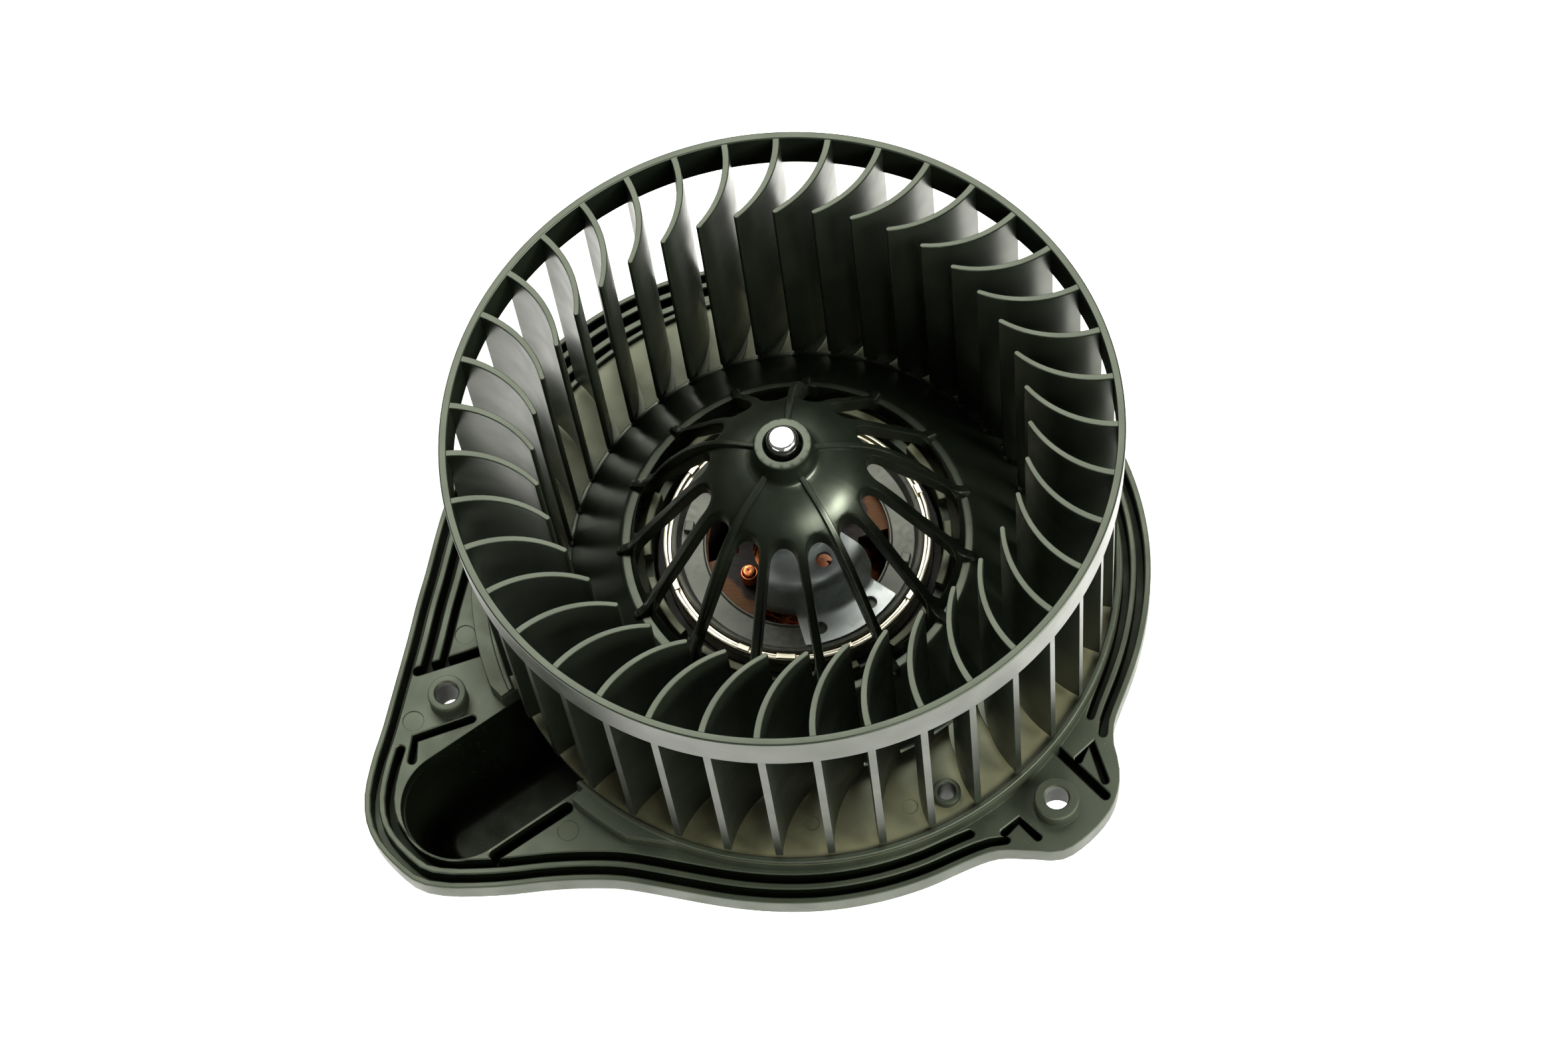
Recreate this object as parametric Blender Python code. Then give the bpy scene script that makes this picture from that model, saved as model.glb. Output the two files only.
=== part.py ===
"""Blower motor wheel: a car heater's fan wheel with its motor and mounting flange.

Lengths are in millimetres until each finished mesh is scaled to metres.
+Z runs up the wheel's axle. The origin is on the axle, at the base of the motor cover.
"""

import math

import bmesh
import bpy
from mathutils import Matrix

METRES_PER_MM = 0.001
GAP = 0.3

# Wheel
WHEEL_TOP = 132.0
RING_INNER_R = 76.0
RING_OUTER_R = 78.0
RING_HEIGHT = 11.0
BLADE_COUNT = 39
BLADE_FIRST_DEG = 94.9
BLADE_BOTTOM = 60.6
BLADE_THICKNESS = 1.6
BLADE_ARC_R = 26.5
BLADE_SWEEP_DEG = 51.3
BLADE_STEPS = 3
BLADE_RING_OVERLAP = 0.4
DISC_EDGE_R = 57.2
DISC_EDGE_THICKNESS = 1.3

# Hub cage of the wheel
SPOKE_COUNT = 15
SPOKE_FIRST_DEG = 9.9
SPOKE_WIDTH = 2.2
RIB_EVERY = 3
RIB_WIDTH = 1.7
WINDOW_INNER_R = 18.3
WINDOW_OUTER_R = 39.2
WINDOW_CORNER_R = 2.6
BOSS_TOP = 123.3
BOSS_RECESS_R = 4.5

# Motor
SHAFT_R = 3.75
SHAFT_TOP = 126.4
SHAFT_BOTTOM = 4.2
CAN_OUTER_R = 32.4
CAN_INNER_R = 30.6
CAN_TOP = 74.4
CAN_BOTTOM = 6.0
BEARING_SEAT_R = 8.3
LOWER_BEARING_Z = 8.6
UPPER_BEARING_Z = 86.0
BRACKET_ARM_DEG = -68.0
CHOKE_CENTRE_R = 14.6
MAGNET_INNER_R = 23.4
MAGNET_BOTTOM = 16.0
MAGNET_TOP = 58.0
MAGNET_SPAN_DEG = 124.0
CORE_R = 22.4
CORE_BOTTOM = 22.0
CORE_TOP = 50.0
SLOT_COUNT = 12
COMMUTATOR_R = 9.0
COMMUTATOR_BOTTOM = 58.6
COMMUTATOR_TOP = 69.0
BRUSH_Z = 64.0
BRUSH_DEG = 30.0
CARD_BOTTOM = 67.6
CARD_THICKNESS = 1.6

# Mounting flange
PLATE_TOP = 53.0
PLATE_BOTTOM = 46.5
GROOVE_BOTTOM = 48.2
WELL_R = 76.2
FLOOR_TOP = 57.6
FLOOR_BOTTOM = 55.6
COLLAR_TOP = 59.0
COLLAR_OUTER_R = 77.6
SHOULDER_R = 80.0
SHOULDERS = ((-205.0, -163.5), (-137.5, -126.0))
CUP_INNER_R = 35.2
CUP_OUTER_R = 37.2
CUP_TOP = 73.5
NOTCH_COUNT = 10
NOTCH_DEPTH = 4.0
MOUNT_BOSS_TOP = 58.0
LEFT_BOSS = (-88.5, -23.5)
RIGHT_BOSS = (54.3, -67.6)
REAR_BOSS = (27.8, 85.6)
LEFT_BOSS_R = 4.7
LUG_BOSS_R = 5.3
MOUNT_HOLE_R = 2.85
DRAIN_BOSS = (28.7, -63.7)

# The flange's outline, as radii at angles round the axle
OUTLINE = (
    (-171, 102.8), (-165, 109.0), (-161, 114.8), (-157, 120.2), (-153, 122.9), (-148, 122.3),
    (-144, 119.8), (-138, 108.9), (-133, 99.8), (-128, 93.5), (-123, 89.6), (-115, 87.0),
    (-105, 86.0), (-90, 85.7), (-75, 85.5), (-68, 85.5), (-63, 87.0), (-59, 91.5),
    (-56, 95.8), (-53, 97.2), (-47, 97.2), (-43, 95.2), (-40, 92.0), (-37, 87.6),
    (-33, 85.2), (-20, 84.8), (0, 85.4), (20, 85.5), (45, 86.0), (57, 88.5),
    (63, 96.0), (69, 99.6), (75, 99.6), (81, 96.0), (87, 90.6), (95, 89.6),
    (110, 91.2), (130, 91.8), (150, 92.0), (165, 92.6), (172, 93.6), (177, 95.4), (183, 98.3),
)

# Cooling duct, along a radius of the flange
DUCT_DEG = -150.0
DUCT_HALF_WIDTH = 13.6
DUCT_END_U = 101.0
DUCT_FLOOR = 24.0
DUCT_WALL = 2.0
DUCT_LIP = 0.6

# Motor cover
COVER_INNER_R = 34.0
COVER_OUTER_R = 36.0
COVER_TOP = 46.2
COVER_FLOOR = 2.4
EAR_DEGREES = (-90.0, 30.0, 150.0)
EAR_R = 41.2
CONNECTOR_DEG = 60.0


def clear_scene():
    for item in list(bpy.data.objects):
        bpy.data.objects.remove(item)


def material(name, colour, roughness, metallic=0.0):
    made = bpy.data.materials.new(name)
    made.use_nodes = True
    shader = made.node_tree.nodes["Principled BSDF"]
    shader.inputs["Base Color"].default_value = (*colour, 1.0)
    shader.inputs["Roughness"].default_value = roughness
    shader.inputs["Metallic"].default_value = metallic
    return made


def polar(radius, degrees):
    angle = math.radians(degrees)
    return (radius * math.cos(angle), radius * math.sin(angle))


def arc(centre, radius, start_deg, end_deg, steps):
    """Points along an arc, both ends included."""
    points = []
    for step in range(steps + 1):
        x, y = polar(radius, start_deg + (end_deg - start_deg) * step / steps)
        points.append((centre[0] + x, centre[1] + y))
    return points


def turn_points(points, degrees):
    angle = math.radians(degrees)
    cosine, sine = math.cos(angle), math.sin(angle)
    return [(x * cosine - y * sine, x * sine + y * cosine) for x, y in points]


def add_object(name, bm):
    bmesh.ops.remove_doubles(bm, verts=bm.verts, dist=1e-5)
    bmesh.ops.recalc_face_normals(bm, faces=bm.faces)
    mesh = bpy.data.meshes.new(name)
    bm.to_mesh(mesh)
    bm.free()
    made = bpy.data.objects.new(name, mesh)
    bpy.context.scene.collection.objects.link(made)
    return made


def add_loop_prism(bm, points, bottom, top):
    lower = [bm.verts.new((x, y, bottom)) for x, y in points]
    upper = [bm.verts.new((x, y, top)) for x, y in points]
    count = len(points)
    for index in range(count):
        after = (index + 1) % count
        bm.faces.new((lower[index], lower[after], upper[after], upper[index]))
    bm.faces.new(upper)
    bm.faces.new(list(reversed(lower)))


def prism(name, points, bottom, top):
    """A straight solid with the plan outline given."""
    bm = bmesh.new()
    add_loop_prism(bm, points, bottom, top)
    return add_object(name, bm)


def prisms(name, outlines, bottom, top):
    bm = bmesh.new()
    for points in outlines:
        add_loop_prism(bm, points, bottom, top)
    return add_object(name, bm)


def cylinder(name, centre, radius, bottom, top, segments=24):
    return prism(name, arc(centre, radius, 0, 360 - 360 / segments, segments - 1), bottom, top)


def turned(name, profile, segments=64, start_deg=0.0, centre=(0.0, 0.0)):
    """A closed (radius, z) outline spun about an upright axis."""
    bm = bmesh.new()
    rings = []
    for radius, z in profile:
        if radius == 0.0:
            rings.append([bm.verts.new((centre[0], centre[1], z))])
            continue
        ring = []
        for step in range(segments):
            x, y = polar(radius, start_deg + 360 * step / segments)
            ring.append(bm.verts.new((centre[0] + x, centre[1] + y, z)))
        rings.append(ring)
    for index, ring in enumerate(rings):
        other = rings[(index + 1) % len(rings)]
        if len(ring) == 1 and len(other) == 1:
            continue
        for step in range(segments):
            after = (step + 1) % segments
            if len(ring) == 1:
                bm.faces.new((ring[0], other[after], other[step]))
            elif len(other) == 1:
                bm.faces.new((ring[step], ring[after], other[0]))
            else:
                bm.faces.new((ring[step], ring[after], other[after], other[step]))
    return add_object(name, bm)


def radial_plate(name, profile, width, degrees):
    """A flat plate standing in the radial plane at the angle given."""
    bm = bmesh.new()
    near = [bm.verts.new((r, -width / 2, z)) for r, z in profile]
    far = [bm.verts.new((r, width / 2, z)) for r, z in profile]
    count = len(profile)
    for index in range(count):
        after = (index + 1) % count
        bm.faces.new((near[index], near[after], far[after], far[index]))
    bm.faces.new(far)
    bm.faces.new(list(reversed(near)))
    bm.transform(Matrix.Rotation(math.radians(degrees), 4, "Z"))
    return add_object(name, bm)


def box(name, low, high, degrees=0.0):
    """A block between two corners, turned about the axle."""
    corners = [(low[0], low[1]), (high[0], low[1]), (high[0], high[1]), (low[0], high[1])]
    return prism(name, turn_points(corners, degrees), low[2], high[2])


def combine(target, others, operation, solver="EXACT"):
    """Apply one Boolean after another and drop the tools."""
    for other in others:
        modifier = target.modifiers.new(operation, "BOOLEAN")
        modifier.object = other
        modifier.operation = operation
        modifier.solver = solver
        graph = bpy.context.evaluated_depsgraph_get()
        result = bpy.data.meshes.new_from_object(target.evaluated_get(graph))
        target.modifiers.clear()
        target.data = result
        bpy.data.objects.remove(other)
    return target


def finish(item, made_of, smooth_deg=35.0):
    """Scale to metres, give the material and shade round faces smooth."""
    item.data.transform(Matrix.Scale(METRES_PER_MM, 4))
    item.data.materials.clear()
    item.data.materials.append(made_of)
    item.data.shade_smooth()
    item.data.set_sharp_from_angle(angle=math.radians(smooth_deg))
    return item


def outline_radius(degrees):
    """Smooth radius of the flange's edge at an angle."""
    angle = (degrees + 171.0) % 360.0 - 171.0
    table = OUTLINE + ((OUTLINE[0][0] + 360, OUTLINE[0][1]),)
    count = len(OUTLINE)
    for index in range(count):
        start, start_r = table[index]
        end, end_r = table[index + 1]
        if start <= angle <= end:
            before = (OUTLINE[index - 1][0] - (360 if index == 0 else 0), OUTLINE[index - 1][1])
            beyond = OUTLINE[(index + 2) % count]
            beyond_deg = beyond[0] + (360 if index + 2 >= count else 0)
            slope_in = (end_r - before[1]) / (end - before[0])
            slope_out = (beyond[1] - start_r) / (beyond_deg - start)
            span = end - start
            t = (angle - start) / span
            return (
                (2 * t**3 - 3 * t**2 + 1) * start_r
                + (t**3 - 2 * t**2 + t) * span * slope_in
                + (3 * t**2 - 2 * t**3) * end_r
                + (t**3 - t**2) * span * slope_out
            )
    return OUTLINE[0][1]


def inset_path(inset, start_deg, end_deg, step_deg=7.0):
    """A line inside the flange's edge, at a steady distance from it."""
    count = max(2, round(abs(end_deg - start_deg) / step_deg))
    points = []
    for step in range(count + 1):
        degrees = start_deg + (end_deg - start_deg) * step / count
        x, y = polar(outline_radius(degrees), degrees)
        ahead = polar(outline_radius(degrees + 0.5), degrees + 0.5)
        behind = polar(outline_radius(degrees - 0.5), degrees - 0.5)
        run_x, run_y = ahead[0] - behind[0], ahead[1] - behind[1]
        length = math.hypot(run_x, run_y)
        points.append((x - inset * run_y / length, y + inset * run_x / length))
    return points


def band(points, width):
    """The outline of a stripe of steady width along a line."""
    left, right = [], []
    last = len(points) - 1
    for index, (x, y) in enumerate(points):
        ahead = points[min(index + 1, last)]
        behind = points[max(index - 1, 0)]
        run_x, run_y = ahead[0] - behind[0], ahead[1] - behind[1]
        length = math.hypot(run_x, run_y)
        side_x, side_y = -run_y / length * width / 2, run_x / length * width / 2
        left.append((x + side_x, y + side_y))
        right.append((x - side_x, y - side_y))
    return right + list(reversed(left))


# Wheel ---------------------------------------------------------------------


def blade_line(offset, start_deg, end_deg, steps):
    """One face of a blade: an arc that leaves the ring at a right angle to it."""
    points = []
    for step in range(steps + 1):
        angle = math.radians(start_deg + (end_deg - start_deg) * step / steps)
        radius = BLADE_ARC_R + offset
        points.append((RING_INNER_R - radius * math.sin(angle), BLADE_ARC_R - radius * math.cos(angle)))
    return points


def blade_outline():
    start = -math.degrees(math.asin(BLADE_RING_OVERLAP / BLADE_ARC_R))
    half = BLADE_THICKNESS / 2
    outer = blade_line(half, start, BLADE_SWEEP_DEG, BLADE_STEPS)
    inner = blade_line(-half, start, BLADE_SWEEP_DEG, BLADE_STEPS)
    return outer + list(reversed(inner))


def window_outline():
    """One cage window seen from above, between two spokes of steady width."""
    half_pitch = math.radians(180.0 / SPOKE_COUNT)
    wedge_x = SPOKE_WIDTH / 2 / math.sin(half_pitch)
    crown_x = (WINDOW_INNER_R - wedge_x * math.sin(half_pitch)) / (1 - math.sin(half_pitch))
    crown_r = crown_x - WINDOW_INNER_R
    crown = arc((crown_x, 0.0), crown_r, 270 - math.degrees(half_pitch), 90 + math.degrees(half_pitch), 5)
    corner_reach = WINDOW_OUTER_R - WINDOW_CORNER_R
    foot_deg = math.degrees(half_pitch)
    foot_deg -= math.degrees(math.asin((SPOKE_WIDTH / 2 + WINDOW_CORNER_R) / corner_reach))
    corner = arc(polar(corner_reach, foot_deg), WINDOW_CORNER_R, 90 + math.degrees(half_pitch), foot_deg, 2)
    mirrored = [(x, -y) for x, y in reversed(corner)]
    return crown + corner + mirrored


def hub_profile():
    outer = [
        (6.2, BOSS_TOP), (6.8, BOSS_TOP - 0.6), (7.3, 117.2), (12.0, 114.9), (18.3, 110.4),
        (23.0, 104.8), (30.0, 93.4), (37.4, 81.2), (40.2, 73.7), (42.5, 73.7),
        (DISC_EDGE_R - 1.6, BLADE_BOTTOM + DISC_EDGE_THICKNESS),
        (DISC_EDGE_R, BLADE_BOTTOM + DISC_EDGE_THICKNESS),
        (DISC_EDGE_R, BLADE_BOTTOM),
    ]
    inner = [
        (DISC_EDGE_R - 2.6, BLADE_BOTTOM), (42.0, 71.7), (39.4, 71.7), (38.2, 76.0), (34.6, 81.0),
        (27.6, 92.2), (20.0, 103.9), (13.6, 110.2), (7.2, 112.4), (6.6, 101.0),
        (SHAFT_R + GAP, 101.0), (SHAFT_R + GAP, BOSS_TOP - 4.4), (BOSS_RECESS_R, BOSS_TOP - 4.0),
        (BOSS_RECESS_R, BOSS_TOP),
    ]
    return outer + inner


def rib_profile():
    return [
        (6.4, 118.6), (12.0, 116.4), (18.6, 112.3), (24.0, 107.0), (30.0, 98.0), (36.5, 84.0),
        (40.4, 73.2), (38.6, 73.2), (30.0, 91.0), (22.0, 103.4), (14.0, 111.4), (6.4, 114.4),
    ]


def make_impeller(plastic):
    blades = []
    for index in range(BLADE_COUNT):
        degrees = BLADE_FIRST_DEG - 360.0 * index / BLADE_COUNT
        blades.append(turn_points(blade_outline(), degrees))
    blade_set = prisms("blades", blades, BLADE_BOTTOM, WHEEL_TOP - 0.2)
    ring = [
        (RING_INNER_R, WHEEL_TOP), (RING_OUTER_R - 0.5, WHEEL_TOP), (RING_OUTER_R, WHEEL_TOP - 0.5),
        (RING_OUTER_R, WHEEL_TOP - RING_HEIGHT), (RING_INNER_R, WHEEL_TOP - RING_HEIGHT),
    ]
    hub = turned("impeller", hub_profile(), 2 * SPOKE_COUNT, SPOKE_FIRST_DEG)
    windows = []
    for index in range(SPOKE_COUNT):
        degrees = SPOKE_FIRST_DEG + 360.0 * (index + 0.5) / SPOKE_COUNT
        windows.append(turn_points(window_outline(), degrees))
    combine(hub, [prisms("windows", windows, 66.0, 118.0)], "DIFFERENCE")
    ribs = []
    for index in range(0, SPOKE_COUNT, RIB_EVERY):
        degrees = SPOKE_FIRST_DEG + 360.0 * index / SPOKE_COUNT
        ribs.append(radial_plate("rib", rib_profile(), RIB_WIDTH, degrees))
    combine(hub, ribs, "UNION")
    combine(hub, [blade_set, turned("ring", ring, BLADE_COUNT, BLADE_FIRST_DEG)], "UNION")
    return finish(hub, plastic)


# Motor, turning parts ------------------------------------------------------


def make_shaft(steel):
    profile = [
        (0.0, SHAFT_TOP), (2.6, SHAFT_TOP), (3.3, SHAFT_TOP - 0.5), (SHAFT_R, SHAFT_TOP - 1.3),
        (SHAFT_R, SHAFT_BOTTOM + 0.6), (SHAFT_R - 0.6, SHAFT_BOTTOM), (0.0, SHAFT_BOTTOM),
    ]
    return finish(turned("shaft", profile, 20), steel)


def make_armature_core(steel):
    """A laminated stack with open slots for the windings."""
    tooth = 360.0 / SLOT_COUNT
    points = []
    for index in range(SLOT_COUNT):
        middle = index * tooth
        points += arc((0, 0), CORE_R, middle - tooth * 0.40, middle + tooth * 0.40, 3)
        points.append(polar(CORE_R - 1.6, middle + tooth * 0.40))
        points.append(polar(10.5, middle + tooth * 0.34))
        points.append(polar(10.5, middle + tooth * 0.66))
        points.append(polar(CORE_R - 1.6, middle + tooth * 0.60))
    core = prism("armature_core", points, CORE_BOTTOM, CORE_TOP)
    bore = cylinder("bore", (0, 0), SHAFT_R + GAP, CORE_BOTTOM - 1, CORE_TOP + 1, 20)
    return finish(combine(core, [bore], "DIFFERENCE"), steel)


def make_windings(copper):
    """Lower and upper end turns joined by a bar through each slot."""
    inner = SHAFT_R + 2.6
    top_coil = [
        (inner, CORE_TOP + GAP), (20.0, CORE_TOP + GAP), (20.4, 53.4), (18.6, 56.4), (12.0, 57.8), (inner, 57.8),
    ]
    low_coil = [
        (inner, CORE_BOTTOM - GAP), (inner, 15.6), (14.0, 15.0), (18.6, 16.6), (20.4, 19.4),
        (20.0, CORE_BOTTOM - GAP),
    ]
    bars = []
    tooth = 360.0 / SLOT_COUNT
    for index in range(SLOT_COUNT):
        corners = [(12.0, -0.5), (19.6, -0.7), (19.6, 0.7), (12.0, 0.5)]
        bars.append(turn_points(corners, (index + 0.5) * tooth))
    coil = turned("armature_windings", top_coil, 24)
    tools = [prisms("bars", bars, 20.5, 51.5), turned("lower", low_coil, 24)]
    return finish(combine(coil, tools, "UNION"), copper)


def make_commutator(copper):
    profile = [
        (SHAFT_R + GAP, COMMUTATOR_BOTTOM), (COMMUTATOR_R + 1.2, COMMUTATOR_BOTTOM),
        (COMMUTATOR_R + 1.2, 59.8), (COMMUTATOR_R, 60.2), (COMMUTATOR_R, COMMUTATOR_TOP),
        (SHAFT_R + GAP, COMMUTATOR_TOP),
    ]
    body = turned("commutator", profile, 24)
    slots = []
    for index in range(SLOT_COUNT):
        corners = [
            (COMMUTATOR_R - 0.8, -0.3), (COMMUTATOR_R + 2, -0.3),
            (COMMUTATOR_R + 2, 0.3), (COMMUTATOR_R - 0.8, 0.3),
        ]
        slots.append(turn_points(corners, 360.0 * (index + 0.5) / SLOT_COUNT + 7.5))
    cut = prisms("slots", slots, COMMUTATOR_BOTTOM - 1, COMMUTATOR_TOP + 1)
    return finish(combine(body, [cut], "DIFFERENCE"), copper)


def make_washer(name, bottom, top, radius, made_of):
    profile = [(SHAFT_R + GAP, bottom), (radius, bottom), (radius, top), (SHAFT_R + GAP, top)]
    return finish(turned(name, profile, 16), made_of)


# Motor, fixed parts --------------------------------------------------------


def make_can(steel):
    profile = [
        (CAN_OUTER_R, CAN_TOP - 0.5), (CAN_OUTER_R, CAN_BOTTOM + 3.0), (CAN_OUTER_R - 3.0, CAN_BOTTOM),
        (BEARING_SEAT_R + 1.6, CAN_BOTTOM), (BEARING_SEAT_R + 1.6, 3.0), (0.0, 3.0), (0.0, 3.8),
        (BEARING_SEAT_R, 3.8), (BEARING_SEAT_R, 13.0), (BEARING_SEAT_R + 1.6, 13.0),
        (BEARING_SEAT_R + 1.6, CAN_BOTTOM + 1.8), (28.0, CAN_BOTTOM + 1.8),
        (CAN_INNER_R, CAN_BOTTOM + 4.4), (CAN_INNER_R, CAN_TOP), (CAN_OUTER_R - 0.5, CAN_TOP),
    ]
    can = turned("motor_can", profile, 36)
    vents = []
    for index in range(6):
        middle = 60.0 * index
        outer_edge = arc((0, 0), 24.0, middle - 17, middle + 17, 3)
        vents.append(outer_edge + arc((0, 0), 15.5, middle + 13, middle - 13, 2))
    combine(can, [prisms("vents", vents, CAN_BOTTOM - 2, CAN_BOTTOM + 3)], "DIFFERENCE")
    return finish(can, steel)


def make_magnet(name, degrees, ferrite):
    half = MAGNET_SPAN_DEG / 2
    outline = arc((0, 0), CAN_INNER_R - GAP, degrees - half, degrees + half, 16)
    outline += arc((0, 0), MAGNET_INNER_R, degrees + half - 2, degrees - half + 2, 14)
    return finish(prism(name, outline, MAGNET_BOTTOM, MAGNET_TOP), ferrite)


def make_magnet_spring(name, degrees, steel):
    """The bent strip that holds the magnets apart against the can."""
    half = 180.0 / 2 - MAGNET_SPAN_DEG / 2 - 2.0
    outline = arc((0, 0), CAN_INNER_R - GAP, degrees - half, degrees + half, 8)
    outline += arc((0, 0), CAN_INNER_R - GAP - 1.4, degrees + half, degrees - half, 8)
    return finish(prism(name, outline, MAGNET_BOTTOM + 2, MAGNET_TOP - 2), steel)


def make_end_bracket(zinc):
    """The pressed plate over the motor: rim, open ring, two arms and a bearing cup."""
    rim = [
        (28.0, 70.6), (CAN_INNER_R - GAP, 70.6), (CAN_INNER_R - GAP, CAN_TOP), (28.2, CAN_TOP),
        (27.6, 72.6), (23.6, 72.6), (23.6, 71.2), (27.6, 71.2),
    ]
    body = turned("end_bracket", rim, 32)
    cup = [
        (BEARING_SEAT_R, 80.2), (9.4, 80.2), (10.0, 81.2), (10.0, 90.8), (8.8, 92.2),
        (5.4, 92.2), (5.4, 90.8), (BEARING_SEAT_R, 90.8),
    ]
    arm = [
        (25.6, 71.3), (25.6, 72.5), (22.4, 73.0), (20.2, 75.2), (18.8, 82.2), (16.8, 84.2),
        (9.4, 85.0), (9.4, 83.4), (16.0, 82.8), (17.4, 81.4), (18.8, 74.0), (21.2, 71.6),
    ]
    arms = [radial_plate("arm", arm, 23.0, BRACKET_ARM_DEG + turn) for turn in (0, 180)]
    combine(body, [turned("cup", cup, 20)] + arms, "UNION")
    holes = []
    for turn in (0, 180):
        for side in (-14, 18):
            holes.append(arc(polar(24.3, BRACKET_ARM_DEG + turn + side), 1.7, 0, 315, 7))
    combine(body, [prisms("holes", holes, 69.0, 76.0)], "DIFFERENCE")
    return finish(body, zinc)


def make_bearing(name, middle, bronze):
    """A plain bearing with a round back that finds its own line."""
    profile = [
        (SHAFT_R + 0.25, middle - 4.0), (5.6, middle - 4.0), (7.4, middle - 2.2), (8.0, middle),
        (7.4, middle + 2.2), (5.6, middle + 4.0), (SHAFT_R + 0.25, middle + 4.0),
    ]
    return finish(turned(name, profile, 18), bronze)


def make_retainer(name, bottom, outer_r, steel):
    """The spring star that presses a bearing into its seat."""
    profile = [(7.1, bottom), (outer_r, bottom), (outer_r, bottom + 0.8), (7.1, bottom + 0.8)]
    ring = turned(name, profile, 18)
    cuts = []
    for index in range(6):
        corners = [(6.0, -0.7), (7.6, -0.7), (7.6, 0.7), (6.0, 0.7)]
        cuts.append(turn_points(corners, 60.0 * index))
    return finish(combine(ring, [prisms("cuts", cuts, bottom - 1, bottom + 2)], "DIFFERENCE"), steel)


def make_brush_card(resin):
    """The insulating board that carries the brush gear."""
    outline = arc((0, 0), CAN_INNER_R - GAP, 0, 350, 35)
    card = prism("brush_card", outline, CARD_BOTTOM, CARD_BOTTOM + CARD_THICKNESS)
    centre = cylinder("centre", (0, 0), 11.0, CARD_BOTTOM - 1, CARD_BOTTOM + 3, 24)
    vents = []
    for middle in (-15.0, 75.0, 165.0, 255.0):
        outer_edge = arc((0, 0), 22.0, middle - 20, middle + 20, 3)
        vents.append(outer_edge + arc((0, 0), 14.5, middle + 16, middle - 16, 2))
    combine(card, [centre, prisms("vents", vents, CARD_BOTTOM - 1, CARD_BOTTOM + 3)], "DIFFERENCE")
    return finish(card, resin)


def make_brush_holder(name, degrees, brass):
    """A square brass tube, open towards the commutator."""
    low, high = BRUSH_Z - 3.0, CARD_BOTTOM - GAP
    tube = box(name, (12.4, -3.6, low), (26.6, 3.6, high), degrees)
    inside = box("inside", (11.0, -2.7, low + 0.8), (25.6, 2.7, high - 0.7), degrees)
    return finish(combine(tube, [inside], "DIFFERENCE"), brass)


def make_brush(name, degrees, carbon):
    low, high = BRUSH_Z - 3.0 + 0.8 + GAP, CARD_BOTTOM - GAP - 0.7 - GAP
    tip = COMMUTATOR_R + GAP
    block = box(name, (tip, -2.4, low), (19.0, 2.4, high), degrees)
    return finish(block, carbon)


def make_brush_spring(name, degrees, steel):
    """The flat push spring between a brush and the end of its holder."""
    low, high = BRUSH_Z - 1.6, CARD_BOTTOM - 2.0
    reach, leaf = 6.0, 0.35
    near, far = [], []
    for step in range(7):
        u = 19.3 + reach * step / 6
        v = 1.9 if step % 2 else -1.9
        near.append((u, v - leaf))
        far.append((u, v + leaf))
    outline = near + list(reversed(far))
    return finish(prism(name, turn_points(outline, degrees), low, high), steel)


def make_choke(name, degrees, copper):
    """The suppressor coil: a wire wound on an upright core."""
    base = CARD_BOTTOM + CARD_THICKNESS + GAP
    top = base + 5.4
    profile = [
        (0.0, base), (1.3, base), (1.3, base + 0.7), (2.3, base + 0.7), (2.3, top - 0.7),
        (1.3, top - 0.7), (1.3, top), (0.0, top),
    ]
    coil = turned(name, profile, 14, centre=polar(CHOKE_CENTRE_R, degrees))
    return finish(coil, copper)


# Flange --------------------------------------------------------------------


def duct_outline(half_width, start_u):
    cap = arc((DUCT_END_U, 0.0), half_width, -90, 90, 12)
    return turn_points([(start_u, -half_width)] + cap + [(start_u, half_width)], DUCT_DEG)


def flange_grooves():
    """Hollows cut in the plate's face between its ribs."""
    paths = [
        (inset_path(2.5, -62.0, -301.0), 2.0),
        (inset_path(2.6, -36.0, 57.0), 2.0),
        (inset_path(6.0, -66.0, -124.0), 1.8),
        (inset_path(6.2, -128.0, -161.0), 1.8),
        (inset_path(6.3, -173.0, -270.0), 2.2),
        (inset_path(6.0, -34.0, 54.0), 1.8),
        (inset_path(10.2, -174.0, -252.0), 1.8),
        ([(-96.0, -14.7), (-80.2, -11.2)], 2.4),
        ([(-98.4, -38.0), (-97.4, -32.4), (-83.4, -28.9)], 2.0),
        ([(-62.4, -54.2), (-80.6, -63.9)], 2.0),
        ([(56.2, -53.6), (66.0, -66.4)], 2.2),
        ([(41.2, -73.0), (45.0, -70.2), (48.9, -75.0)], 1.9),
        ([(60.8, -56.6), (64.4, -52.8), (66.4, -62.6)], 1.9),
    ]
    return [band(points, width) for points, width in paths]


def flange_centre():
    """Cup ring round the motor, well floor under the wheel and the collar round the well."""
    profile = [
        (CUP_INNER_R, PLATE_BOTTOM), (CUP_INNER_R, CUP_TOP), (CUP_OUTER_R, CUP_TOP),
        (CUP_OUTER_R, FLOOR_TOP), (WELL_R, FLOOR_TOP), (WELL_R, COLLAR_TOP),
        (COLLAR_OUTER_R, COLLAR_TOP), (COLLAR_OUTER_R, PLATE_BOTTOM + 2.0),
        (WELL_R - 0.6, PLATE_BOTTOM + 2.0), (WELL_R - 0.6, FLOOR_BOTTOM),
        (CUP_OUTER_R, FLOOR_BOTTOM), (CUP_OUTER_R, PLATE_BOTTOM),
    ]
    return turned("mounting_flange", profile, 60)


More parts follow.
